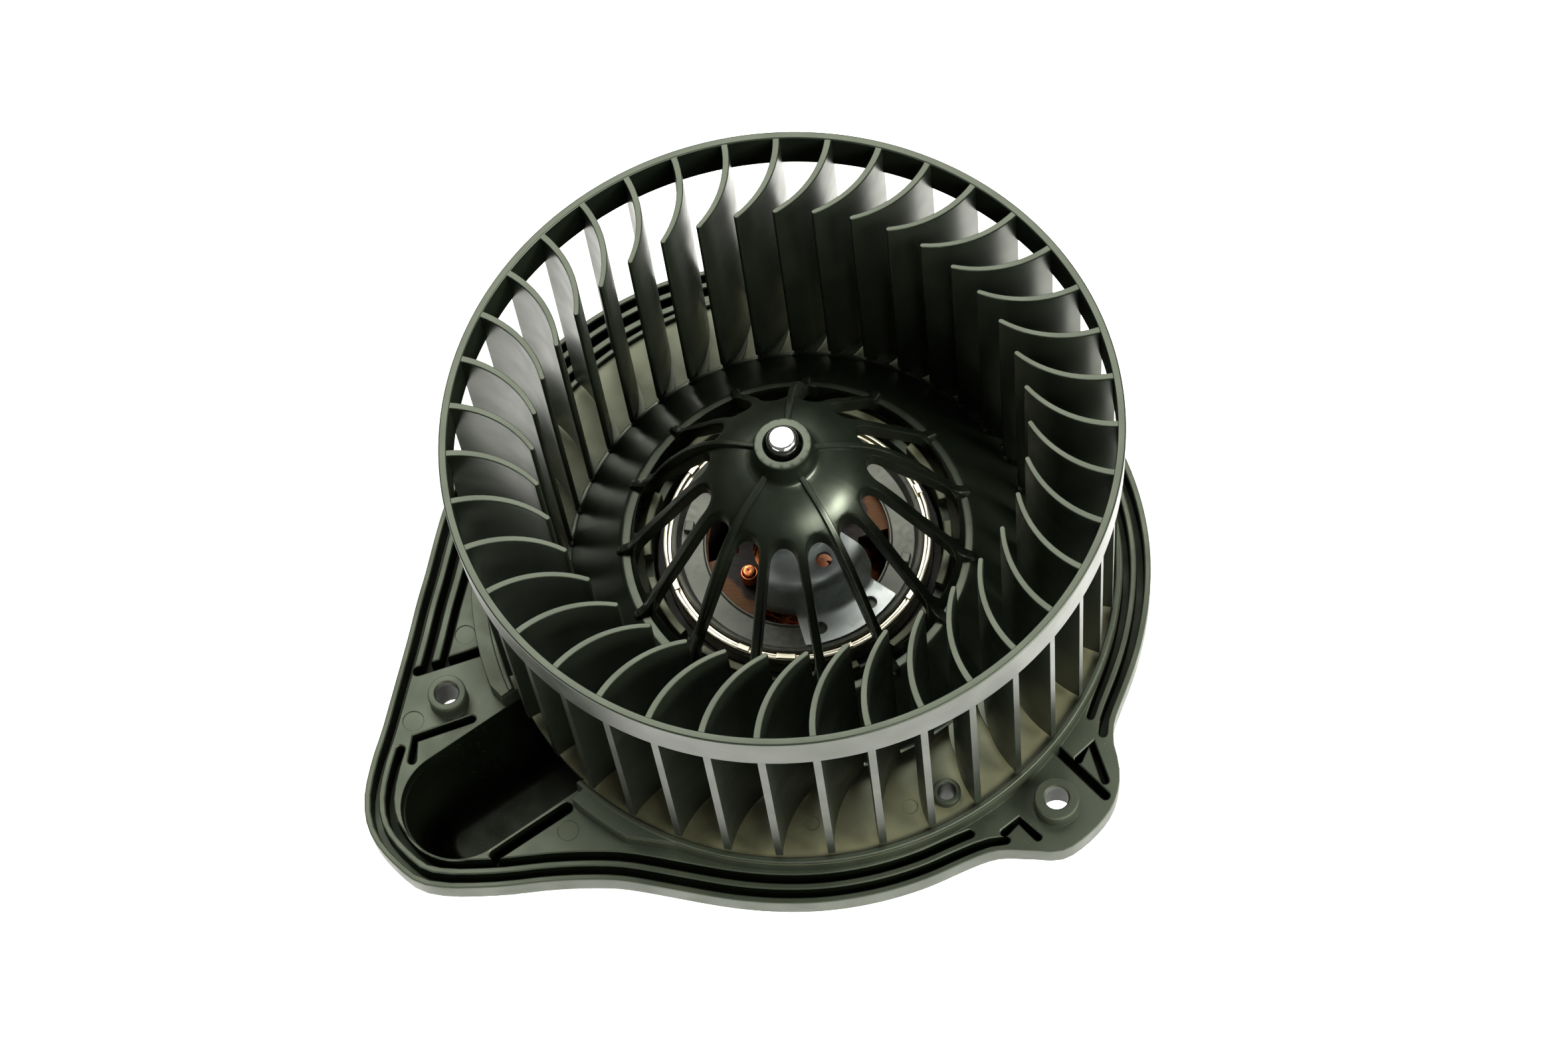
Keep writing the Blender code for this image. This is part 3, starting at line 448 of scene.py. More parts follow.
def offset_line(points, inset):
    """Move a closed anticlockwise line inwards."""
    if inset == 0.0:
        return list(points)
    moved = []
    count = len(points)
    for index in range(count):
        before = Vector(points[index - 1])
        here = Vector(points[index])
        after = Vector(points[(index + 1) % count])
        first = (here - before).normalized()
        second = (after - here).normalized()
        normal = Vector((-first.y - second.y, first.x + second.x))
        if normal.length < 1e-6:
            moved.append(tuple(here))
            continue
        normal.normalize()
        stretch = max(0.5, normal.dot(Vector((-first.y, first.x))))
        moved.append(tuple(here + normal * inset / stretch))
    return moved


def anticlockwise(points):
    area = 0.0
    for index, (x, y) in enumerate(points):
        next_x, next_y = points[(index + 1) % len(points)]
        area += x * next_y - next_x * y
    return points if area > 0 else list(reversed(points))


# Mesh helpers ----------------------------------------------------------------


def place(name, data):
    """Put a mesh, light or camera in the scene."""
    made = bpy.data.objects.new(name, data)
    bpy.context.scene.collection.objects.link(made)
    return made


def add_object(name, bm):
    bmesh.ops.remove_doubles(bm, verts=bm.verts, dist=1e-4)
    bmesh.ops.recalc_face_normals(bm, faces=bm.faces)
    mesh = bpy.data.meshes.new(name)
    bm.to_mesh(mesh)
    bm.free()
    return place(name, mesh)


def loft_into(bm, loops):
    """Skin closed loops of (x, y, z) with equal counts, and cap both ends."""
    rings = [[bm.verts.new(point) for point in loop] for loop in loops]
    count = len(rings[0])
    for lower, upper in zip(rings, rings[1:]):
        for index in range(count):
            after = (index + 1) % count
            bm.faces.new((lower[index], lower[after], upper[after], upper[index]))
    bm.faces.new(rings[-1])
    bm.faces.new(list(reversed(rings[0])))


def slab_loops(outline, levels):
    """Loops of an upright solid, from (z, inset) levels."""
    outline = anticlockwise(outline)
    return [[(x, y, z) for x, y in offset_line(outline, inset)] for z, inset in levels]


def slab(name, outline, levels):
    bm = bmesh.new()
    loft_into(bm, slab_loops(outline, levels))
    return add_object(name, bm)


def block(name, outline, bottom, top, edge=0.3):
    """An upright solid, chamfered below and rounded above."""
    lower = [(bottom, edge), (bottom + edge, 0.0)]
    upper = [(top - edge, 0.0), (top - edge * 0.3, edge * 0.3), (top, edge)]
    return slab(name, outline, lower + upper)


def cutter(name, outline, bottom, surface, flare=0.3):
    """A tool that leaves a chamfered mouth where it breaks the surface."""
    return slab(name, outline, [(bottom, 0.2), (surface - flare, 0.0), (surface + 0.5, -flare - 0.5)])


def turned(name, profile, segments=180, centre=(0.0, 0.0)):
    """A closed (radius, z) line spun about an upright axis."""
    bm = bmesh.new()
    rings = []
    for radius, z in profile:
        if radius < 1e-6:
            rings.append([bm.verts.new((centre[0], centre[1], z))])
            continue
        ring = []
        for step in range(segments):
            x, y = polar(radius, 360 * step / segments)
            ring.append(bm.verts.new((centre[0] + x, centre[1] + y, z)))
        rings.append(ring)
    for index, ring in enumerate(rings):
        other = rings[(index + 1) % len(rings)]
        if len(ring) == 1 and len(other) == 1:
            continue
        for step in range(segments):
            after = (step + 1) % segments
            if len(ring) == 1:
                bm.faces.new((ring[0], other[after], other[step]))
            elif len(other) == 1:
                bm.faces.new((ring[step], ring[after], other[0]))
            else:
                bm.faces.new((ring[step], ring[after], other[after], other[step]))
    return add_object(name, bm)


def cylinder(name, centre, radius, bottom, top, segments=48, flare=0.0):
    outline = arc(centre, radius, 0, 360 - 360 / segments, segments - 1)
    if flare:
        return slab(name, outline, [(bottom, 0.0), (top - flare, 0.0), (top + 0.5, -flare - 0.5)])
    return slab(name, outline, [(bottom, 0.0), (top, 0.0)])


def tube_along(name, points, radius, sides=8):
    """A wire along a line of points in space."""
    bm = bmesh.new()
    rings = []
    count = len(points)
    side = Vector((0.0, 0.0, 1.0))
    for index in range(count):
        ahead = Vector(points[min(index + 1, count - 1)])
        behind = Vector(points[max(index - 1, 0)])
        along = (ahead - behind).normalized()
        side = (side - along * side.dot(along)).normalized()
        other = along.cross(side)
        ring = []
        for step in range(sides):
            angle = 2 * math.pi * step / sides
            spot = Vector(points[index]) + (side * math.cos(angle) + other * math.sin(angle)) * radius
            ring.append(bm.verts.new(spot))
        rings.append(ring)
    for lower, upper in zip(rings, rings[1:]):
        for step in range(sides):
            after = (step + 1) % sides
            bm.faces.new((lower[step], lower[after], upper[after], upper[step]))
    bm.faces.new(list(reversed(rings[0])))
    bm.faces.new(rings[-1])
    return add_object(name, bm)


def combine(target, others, operation):
    """Apply one Boolean after another and drop the tools."""
    for other in others:
        modifier = target.modifiers.new(operation, "BOOLEAN")
        modifier.object = other
        modifier.operation = operation
        modifier.solver = "MANIFOLD"
        graph = bpy.context.evaluated_depsgraph_get()
        result = bpy.data.meshes.new_from_object(target.evaluated_get(graph))
        target.modifiers.clear()
        target.data = result
        bpy.data.objects.remove(other)
    return target


def join(target, others):
    """Put several separate solids in one object."""
    bm = bmesh.new()
    for item in [target] + others:
        bm.from_mesh(item.data)
    bm.to_mesh(target.data)
    bm.free()
    for item in others:
        bpy.data.objects.remove(item)
    return target


def finish_piece(item, material, body, slot, *nodes, sharp_deg=38.0):
    """Scale to metres, shade, paint and put on its body, in place of the CAD nodes named."""
    item.data.transform(Matrix.Scale(MM, 4))
    item.data.materials.clear()
    item.data.materials.append(material)
    item.data.shade_smooth()
    item.data.set_sharp_from_angle(angle=math.radians(sharp_deg))
    even = item.modifiers.new("even_shading", "WEIGHTED_NORMAL")
    even.keep_sharp = True
    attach(item, body)
    if nodes:
        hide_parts(*nodes)
    return item


# Wheel -----------------------------------------------------------------------

HUB_OUTER = (
    (8.2, 116.6), (10.0, 115.9), (12.0, 115.0), (15.5, 112.9), (18.5, 110.2), (22.0, 106.0),
    (26.0, 100.0), (30.0, 93.3), (34.0, 87.0), (37.2, 81.6), (39.2, 77.2), (40.2, 73.7),
)
HUB_INNER = (
    (7.2, 112.6), (11.0, 111.4), (14.0, 109.6), (17.0, 107.0), (20.3, 103.2), (24.0, 97.6),
    (28.0, 91.2), (32.0, 85.0), (35.3, 79.6), (37.6, 75.4), (38.9, 71.7), (39.2, 71.7),
)


def window_line():
    """One cage window seen from above, on +X, between two spokes of steady width."""
    half_pitch_deg = 180.0 / SPOKE_COUNT
    half_pitch = math.radians(half_pitch_deg)
    wedge_x = SPOKE_HALF_WIDTH / math.sin(half_pitch)
    crown_x = (WINDOW_INNER_R - wedge_x * math.sin(half_pitch)) / (1 - math.sin(half_pitch))
    crown_r = crown_x - WINDOW_INNER_R
    crown = arc((crown_x, 0.0), crown_r, 180, 90 + half_pitch_deg, 9)
    reach = WINDOW_OUTER_R - WINDOW_CORNER_R
    corner_deg = half_pitch_deg - math.degrees(math.asin((SPOKE_HALF_WIDTH + WINDOW_CORNER_R) / reach))
    corner = arc(polar(reach, corner_deg), WINDOW_CORNER_R, 90 + half_pitch_deg, corner_deg, 6)
    (start_x, start_y), (end_x, end_y) = crown[-1], corner[0]
    middle = []
    steps = 12
    for step in range(1, steps):
        t = step / steps
        middle.append((start_x * (1 - t) + end_x * t, start_y * (1 - t) + end_y * t))
    return crown + middle + corner


def distance_to_line(point, line):
    nearest = 1e9
    for first, second in zip(line, line[1:]):
        run_x, run_y = second[0] - first[0], second[1] - first[1]
        length = run_x * run_x + run_y * run_y
        t = ((point[0] - first[0]) * run_x + (point[1] - first[1]) * run_y) / length
        t = min(1.0, max(0.0, t))
        nearest = min(nearest, math.hypot(point[0] - first[0] - t * run_x, point[1] - first[1] - t * run_y))
    return nearest


def edge_drop(distance):
    """How far a surface falls away near a rounded window edge."""
    if distance >= EDGE_ROUND:
        return 0.0
    return EDGE_ROUND - math.sqrt(EDGE_ROUND**2 - (EDGE_ROUND - distance) ** 2)


def hub_rows():
    """(radius, spoke half-angle) rows from the dome out to the rim, and which are cut by windows."""
    half_pitch = 180.0 / SPOKE_COUNT
    rows = []
    for radius in (9.4, 11.0, 12.6, 14.2, 15.6, 16.8, 17.6, WINDOW_INNER_R - 0.35, WINDOW_INNER_R - 0.12):
        rows.append((radius, half_pitch, False))
    for x, y in window_line():
        radius = math.hypot(x, y)
        rows.append((radius, half_pitch - math.degrees(math.atan2(y, x)), True))
    rows[9] = (WINDOW_INNER_R, half_pitch, True)
    rows[-1] = (WINDOW_OUTER_R, half_pitch, True)
    for extra in (0.12, 0.35):
        rows.append((WINDOW_OUTER_R + extra, half_pitch, False))
    return rows


def make_hub_cage():
    """Dome, spokes, rim and disc as one shell, built sector by sector as a closed grid."""
    half_pitch = 180.0 / SPOKE_COUNT
    line = window_line()
    rows = hub_rows()
    lip = (SHAFT_R + 0.3, SHAFT_R + 0.75)
    boss = [
        (7.25, 112.45), (7.15, 101.0), (6.9, 100.2), (6.4, 100.0), (lip[0] + 0.4, 100.0), (lip[0], 100.5),
        (lip[0], 118.8), (lip[1], 119.3), (lip[1], BOSS_TOP - 0.3), (lip[1] + 0.25, BOSS_TOP),
        (6.15, BOSS_TOP), (6.6, BOSS_TOP - 0.2), (6.82, BOSS_TOP - 0.7), (7.0, 120.4), (7.2, 118.3),
        (7.5, 117.2), (8.2, 116.6),
    ]
    rim = [
        (40.05, 74.2), (40.4, 73.78), (41.0, 73.7), (42.0, 73.7), (42.6, 73.55), (43.4, 72.95),
        (46.0, 70.7), (49.6, 67.6), (53.0, 64.6), (55.6, 62.3), (56.2, DISC_EDGE_TOP + 0.04),
        (56.9, DISC_EDGE_TOP), (DISC_EDGE_R, DISC_EDGE_TOP - 0.3), (DISC_EDGE_R, BLADE_BOTTOM + 0.25),
        (56.95, BLADE_BOTTOM), (55.7, BLADE_BOTTOM), (50.0, 65.6), (43.2, 71.4), (42.4, 71.7), (39.7, 71.7),
    ]
    bm = bmesh.new()
    for sector in range(SPOKE_COUNT):
        middle = SPOKE_FIRST_DEG + sector * 2 * half_pitch
        top = [ring_row(bm, radius, z, half_pitch, middle) for radius, z in boss]
        under = []
        for radius, half_angle, _ in rows:
            high, low = [], []
            for offset in row_offsets(radius, half_angle):
                x, y = polar(radius, half_pitch - abs(offset))
                drop = edge_drop(distance_to_line((x, y), line))
                lean = slope_stretch(radius)
                spot = polar(radius, middle + offset)
                high.append(bm.verts.new((*spot, smooth_value(HUB_OUTER, radius) - drop * lean)))
                low.append(bm.verts.new((*spot, smooth_value(HUB_INNER, radius) + drop * 0.6)))
            top.append(high)
            under.append(low)
        for first, second in zip(top, top[1:]):
            quads(bm, first, second)
        disc = [ring_row(bm, radius, z, half_pitch, middle) for radius, z in rim]
        outward = [top[-1]] + disc + list(reversed(under)) + [top[0]]
        for first, second in zip(outward, outward[1:]):
            quads(bm, first, second)
        first_row = len(boss)
        for index in range(len(rows) - 1):
            if rows[index][2] and rows[index + 1][2]:
                high, next_high = top[first_row + index], top[first_row + index + 1]
                low, next_low = under[index], under[index + 1]
                for side in (0, -1):
                    bm.faces.new((high[side], next_high[side], next_low[side], low[side]))
    bmesh.ops.remove_doubles(bm, verts=bm.verts, dist=1e-3)
    return add_object("wheel", bm)


def slope_stretch(radius):
    """How much further a surface drops at this radius than it would on the level."""
    rise = smooth_value(HUB_OUTER, radius - 0.2) - smooth_value(HUB_OUTER, radius + 0.2)
    return min(2.2, math.hypot(1.0, rise / 0.4))


def row_offsets(radius, half_angle):
    """Angles across one spoke or sector, close together near its edges."""
    edges = [math.degrees(distance / radius) for distance in (0.0, 0.12, 0.35)]
    inner = half_angle - edges[2]
    half = [0.0, inner * 0.36, inner * 0.7, inner, half_angle - edges[1], half_angle]
    return [-angle for angle in reversed(half[1:])] + half


def ring_row(bm, radius, z, half_pitch, middle):
    """Vertices across one sector at one radius and height."""
    offsets = row_offsets(max(radius, 8.0), half_pitch)
    return [bm.verts.new((*polar(radius, middle + offset), z)) for offset in offsets]


def quads(bm, first, second):
    for index in range(len(first) - 1):
        bm.faces.new((first[index], first[index + 1], second[index + 1], second[index]))


def ridge_section(half, foot, shoulder, base, top, drops):
    """A tall, narrow (y, z) section with a rounded crest."""
    side, crown = drops
    left = [(-half * foot, base), (-half, top - side), (-half * shoulder, top - crown)]
    return left + [(0.0, top)] + [(-y, z) for y, z in reversed(left)]


def make_spoke_rib(degrees):
    """The tall thin rib that runs from the boss over the dome and down one spoke."""
    crest = [
        (6.5, 118.4), (8.6, 117.5), (12.0, 116.1), (15.5, 114.4), (18.6, 112.1), (22.0, 108.9),
        (26.0, 103.6), (30.0, 97.0), (33.5, 90.2), (36.5, 83.2), (38.8, 77.4), (40.4, 73.6),
    ]
    bm = bmesh.new()
    half = RIB_WIDTH / 2
    loops = []
    steps = 30
    for step in range(steps + 1):
        radius = crest[0][0] + (crest[-1][0] - crest[0][0]) * step / steps
        top = smooth_value(crest, radius)
        base = smooth_value(HUB_OUTER, radius) - 1.2
        section = ridge_section(half, 1.15, 0.72, base, top, (0.5, 0.12))
        loops.append([(radius, y, z) for y, z in section])
    loft_into(bm, loops)
    bm.transform(Matrix.Rotation(math.radians(degrees), 4, "Z"))
    return add_object("rib", bm)


def make_spoke_feet():
    """Each spoke's round end, standing a little proud of the rim's flat."""
    crest = [
        (35.0, 84.9), (37.0, 82.0), (39.0, 78.5), (40.3, 76.5), (41.6, 75.5), (42.7, 75.0), (43.4, 74.5),
    ]
    bm = bmesh.new()
    steps = 16
    for index in range(SPOKE_COUNT):
        degrees = SPOKE_FIRST_DEG + 360.0 * index / SPOKE_COUNT
        loops = []
        for step in range(steps + 1):
            radius = 35.5 + 8.1 * step / steps
            half = SPOKE_HALF_WIDTH * math.sqrt(max(0.06, 1.0 - max(0.0, (radius - 42.6) / 1.05) ** 2))
            top = smooth_value(crest, radius) - (1.0 - half / SPOKE_HALF_WIDTH) * 1.1
            base = max(72.6, smooth_value(HUB_OUTER, radius) - 2.5)
            section = ridge_section(half, 1.0, 0.75, base, top, (0.6, 0.15))
            spun = turn_points([(radius, y) for y, z in section], degrees)
            loops.append([(x, y, z) for (x, y), (_, z) in zip(spun, section)])
        loft_into(bm, loops)
    return add_object("feet", bm)


def blade_point(angle_deg, offset):
    """A point on one blade's curve, so many degrees in from the ring, moved off its middle."""
    angle = math.radians(angle_deg)
    radius = BLADE_ARC_R + offset
    return (RING_INNER_R - radius * math.sin(angle), BLADE_ARC_R - radius * math.cos(angle))


def blade_line(inset):
    """Plan outline of one blade, thinner and rounded towards its free edge."""
    steps = 12
    root = -0.9
    front, back = [], []
    for step in range(steps + 1):
        t = step / steps
        angle = root + (BLADE_SWEEP_DEG - 1.2 - root) * t
        half = (BLADE_ROOT_THICKNESS * (1 - t) + BLADE_TIP_THICKNESS * t) / 2 - inset
        front.append(blade_point(angle, half))
        back.append(blade_point(angle, -half))
    tip = []
    half = BLADE_TIP_THICKNESS / 2 - inset
    for step in range(1, 5):
        around = math.pi * step / 5
        ahead = math.degrees(half * math.sin(around) / BLADE_ARC_R)
        tip.append(blade_point(BLADE_SWEEP_DEG - 1.2 + ahead, half * math.cos(around)))
    return front + tip + list(reversed(back))


def make_blades():
    """All the blades, each with a small step where it passes the disc's edge."""
    bm = bmesh.new()
    top = WHEEL_TOP - 0.15
    levels = (
        (BLADE_BOTTOM, 0.2), (BLADE_BOTTOM + 0.3, 0.0), (top - 0.35, 0.0), (top - 0.1, 0.12), (top, 0.36),
    )
    for index in range(BLADE_COUNT):
        degrees = BLADE_FIRST_DEG - 360.0 * index / BLADE_COUNT
        loops = []
        for z, inset in levels:
            outline = turn_points(anticlockwise(blade_line(inset)), degrees)
            loops.append([(x, y, z) for x, y in outline])
        loft_into(bm, loops)
    blades = add_object("blades", bm)
    inner, low, high = 54.2, DISC_EDGE_TOP + 0.5, DISC_EDGE_TOP + 2.6
    notch = turned("notch", [(inner, low), (DISC_EDGE_R, low), (DISC_EDGE_R, high), (inner, high)], 156)
    return combine(blades, [notch], "DIFFERENCE")


def make_foot_webs():
    """The thin crescent at each blade's foot, where the disc reaches out along the blade."""
    bm = bmesh.new()
    start, end = 22.0, BLADE_SWEEP_DEG + 1.5
    steps = 8
    crescent = []
    for step in range(steps + 1):
        t = step / steps
        crescent.append(blade_point(start + (end - start) * t, 0.3 + 2.5 * math.sin(math.pi * 0.5 * t)))
    for step in range(steps + 1):
        crescent.append(blade_point(end - (BLADE_SWEEP_DEG - 20.5) * step / steps, -0.1))
    for index in range(BLADE_COUNT):
        outline = turn_points(anticlockwise(crescent), BLADE_FIRST_DEG - 360.0 * index / BLADE_COUNT)
        levels = (BLADE_BOTTOM + 0.05, DISC_EDGE_TOP - 0.15)
        loft_into(bm, [[(x, y, z) for x, y in outline] for z in levels])
    return add_object("webs", bm)


def make_wheel(plastic):
    wheel = make_hub_cage()
    ring_line = [
        (RING_INNER_R, WHEEL_TOP), (RING_OUTER_R, WHEEL_TOP), (RING_OUTER_R - 0.15, WHEEL_TOP - RING_HEIGHT),
        (RING_INNER_R, WHEEL_TOP - RING_HEIGHT),
    ]
    ring = turned("ring", soften(ring_line, 0.45, 4), 312)
    parts = []
    for index in range(0, SPOKE_COUNT, RIB_EVERY):
        parts.append(make_spoke_rib(SPOKE_FIRST_DEG + 360.0 * index / SPOKE_COUNT))
    parts += [make_spoke_feet(), make_foot_webs(), make_blades(), ring]
    combine(wheel, parts, "UNION")
    return finish_piece(wheel, plastic, "rotor", "black_plastic", "impeller")


# Flange ----------------------------------------------------------------------


def outline_radius(degrees):
    """Radius of the flange's edge at an angle, smooth through the outline's points."""
    first = OUTLINE[0][0]
    return smooth_value(OUTLINE_THREE_TURNS, first + (degrees - first) % 360.0) - OUTLINE_SHRINK


def inset_path(inset, start_deg, end_deg, step_deg=2.0):
    """A line inside the flange's edge, at a steady distance from it."""
    count = max(2, round(abs(end_deg - start_deg) / step_deg))
    points = []
    for step in range(count + 1):
        degrees = start_deg + (end_deg - start_deg) * step / count
        x, y = polar(outline_radius(degrees), degrees)
        ahead = polar(outline_radius(degrees + 0.5), degrees + 0.5)
        behind = polar(outline_radius(degrees - 0.5), degrees - 0.5)
        run_x, run_y = ahead[0] - behind[0], ahead[1] - behind[1]
        length = math.hypot(run_x, run_y)
        points.append((x - inset * run_y / length, y + inset * run_x / length))
    return points


def band(points, width):
    """The outline of a stripe of steady width along a line, with round ends."""
    last = len(points) - 1
    left, right = [], []
    ends = []
    for index, (x, y) in enumerate(points):
        ahead = points[min(index + 1, last)]
        behind = points[max(index - 1, 0)]
        run_x, run_y = ahead[0] - behind[0], ahead[1] - behind[1]
        length = math.hypot(run_x, run_y)
        side_x, side_y = -run_y / length * width / 2, run_x / length * width / 2
        left.append((x + side_x, y + side_y))
        right.append((x - side_x, y - side_y))
        if index in (0, last):
            ends.append(math.degrees(math.atan2(run_y, run_x)))
    start_cap = arc(points[0], width / 2, ends[0] + 90, ends[0] + 270, 6)[1:-1]
    end_cap = arc(points[last], width / 2, ends[1] - 90, ends[1] + 90, 6)[1:-1]
    return right + end_cap + list(reversed(left)) + start_cap


def groove_outlines():
    """Hollows in the plate's face between its ribs."""
    paths = [
        (inset_path(2.5, -62.0, -301.0), 2.0),
        (inset_path(2.6, -36.0, 57.0), 2.0),
        (inset_path(6.1, -66.0, -163.0), 2.1),
        (inset_path(6.3, -173.0, -270.0), 2.2),
        (inset_path(6.0, -34.0, 54.0), 1.8),
        (inset_path(10.2, -174.0, -252.0), 1.8),
        ([(-96.0, -14.7), (-80.2, -11.2)], 2.4),
        ([(-98.4, -38.0), (-97.4, -32.4), (-83.4, -28.9)], 2.0),
        ([(-61.8, -54.6), (-79.6, -64.5)], 3.0),
        ([(56.2, -53.6), (66.0, -66.4)], 2.2),
        ([(41.2, -73.0), (45.0, -70.2), (48.9, -75.0)], 1.9),
        ([(60.8, -56.6), (64.4, -52.8), (66.4, -62.6)], 1.9),
    ]
    return [band(points, width) for points, width in paths]


def duct_outline(half_width, start_u):
    """The duct seen from above: straight sides and a round end."""
    cap = arc((DUCT_END_U, 0.0), half_width, -90, 90, 36)
    return turn_points([(start_u, -half_width)] + cap + [(start_u, half_width)], DUCT_DEG)


def boss(name, centre, radius, bottom, top):
    """A moulded boss: drafted side, rounded lip."""
    line = [
        (0.0, bottom), (radius + 0.1, bottom), (radius, top - 0.4), (radius - 0.12, top - 0.12),
        (radius - 0.4, top), (0.0, top),
    ]
    return turned(name, line, 64, centre)


def paint_recess_shade(item, painted_shade_material):
    """Paint shade into the walls and floors below the plate's face: they get a darker, duller copy of the
    flange plastic, standing for the shade in these recesses.
    """
    item.data.materials.append(painted_shade_material)
    for face in item.data.polygons:
        middle = face.center / MM
        edge = outline_radius(math.degrees(math.atan2(middle.y, middle.x)))
        radius = math.hypot(middle.x, middle.y)
        inside = CUP_OUTER_R + 0.3 < radius < edge - 1.0
        if inside and middle.z < PLATE_TOP - 0.5 and face.normal.z > -0.5:
            face.material_index = 1
    return item


def make_plate():
    """The flat plate with its hollows and ejector marks."""
    edge = [polar(outline_radius(1.5 * step), 1.5 * step) for step in range(240)]
    lower = [(PLATE_BOTTOM, 0.5), (PLATE_BOTTOM + 0.5, 0.0)]
    upper = [(PLATE_TOP - 0.45, 0.0), (PLATE_TOP - 0.14, 0.14), (PLATE_TOP, 0.45)]
    plate = slab("plate", edge, lower + upper)
    cuts = [cylinder("well", (0, 0), COLLAR_OUTER_R - 0.8, PLATE_BOTTOM - 1, PLATE_TOP + 1, 240)]
    for outline in groove_outlines():
        cuts.append(cutter("groove", outline, GROOVE_BOTTOM, PLATE_TOP, 0.28))
    for spot, radius in PLATE_MARKS:
        cuts.append(cylinder("ejector", spot, radius, PLATE_TOP - 0.22, PLATE_TOP + 1, 40))
    return combine(plate, cuts, "DIFFERENCE")


def make_duct():
    """The duct's outer wall, tapered towards its floor."""
    levels = [
        (DUCT_FLOOR, 10.0), (DUCT_FLOOR + 0.8, 7.6), (DUCT_FLOOR + 3.5, 5.0), (DUCT_FLOOR + 12.0, 2.2),
        (PLATE_BOTTOM, 0.9), (FLOOR_BOTTOM + 0.4, 0.9),
    ]
    duct = slab("duct", duct_outline(DUCT_HALF_WIDTH + DUCT_WALL, 20.0), levels)
    low = PLATE_TOP - 0.3
    outside = turned("outside", [(77.0, low), (140.0, low), (140.0, 60.0), (77.0, 60.0)], 120)
    inside = cylinder("inside", (0, 0), COVER_R + 0.4, DUCT_FLOOR - 1, CUP_TOP, 120)
    return combine(duct, [outside, inside], "DIFFERENCE")


def duct_cuts():
    """Tools for the duct's inside and for the lip round its mouth."""
    floor = DUCT_FLOOR + DUCT_WALL
    levels = [
        (floor, 9.6), (floor + 0.8, 7.2), (floor + 3.2, 5.0), (DUCT_FLOOR + 13.0, 2.2),
        (PLATE_BOTTOM, 0.0), (FLOOR_BOTTOM - 0.3, 0.0),
    ]
    passage = slab("passage", duct_outline(DUCT_HALF_WIDTH, 10.0), levels)
    kept_ring = cylinder("kept_ring", (0, 0), CUP_OUTER_R - 0.4, PLATE_BOTTOM + 0.6, CUP_TOP, 120)
    combine(passage, [kept_ring], "DIFFERENCE")
    levels = [(PLATE_TOP - 3.0, 0.2), (PLATE_TOP - 0.3, 0.0), (COLLAR_TOP + 2, -0.9)]
    mouth = slab("mouth", duct_outline(DUCT_HALF_WIDTH + DUCT_LIP, 60.0), levels)
    kept_floor = cylinder("kept_floor", (0, 0), WELL_R - 0.8, PLATE_BOTTOM - 30, COLLAR_TOP + 5, 240)
    combine(mouth, [kept_floor], "DIFFERENCE")
    return [passage, mouth]


def hole_cuts():
    """Tools for the screw holes and their reliefs, the drain, the marks and the ears' holes."""
    cuts = []
    for centre in (LEFT_BOSS, RIGHT_BOSS, REAR_BOSS):
        cuts.append(cylinder("hole", centre, MOUNT_HOLE_R, PLATE_BOTTOM - 3, MOUNT_BOSS_TOP, 48, 0.3))
    for centre, radius in ((LEFT_BOSS, 3.5), (RIGHT_BOSS, 4.2), (REAR_BOSS, 4.2)):
        cuts.append(cylinder("relief", centre, radius, PLATE_BOTTOM - 4, MOUNT_BOSS_TOP - 1.8, 48))
    cuts.append(cylinder("hole", DRAIN_BOSS, DRAIN_HOLE_R, PLATE_BOTTOM - 2, DRAIN_TOP, 40, 0.25))
    for spot in FLOOR_MARKS:
        cuts.append(cylinder("ejector", spot, 1.8, FLOOR_TOP - 0.15, FLOOR_TOP + 1, 32))
    for degrees in EAR_DEGREES:
        cuts.append(cylinder("hole", polar(EAR_R, degrees), 1.9, PLATE_BOTTOM - 1, FLOOR_BOTTOM - 1.0, 32))
    return cuts


def notch_cuts():
    """Tools for the notches in the ring round the motor."""
    inner, outer = CUP_INNER_R - 2, CUP_OUTER_R + 2
    half = NOTCH_HALF_WIDTH
    cuts = []
    for index in range(NOTCH_COUNT):
        line = [(inner, -half), (outer, -half), (outer, half), (inner, half)]
        line = soften(turn_points(line, 360.0 * index / NOTCH_COUNT + NOTCH_FIRST_DEG), 0.3)
        cuts.append(slab("notch", line, [(CUP_TOP - NOTCH_DEPTH, 0.0), (CUP_TOP + 2, 0.0)]))
    return cuts


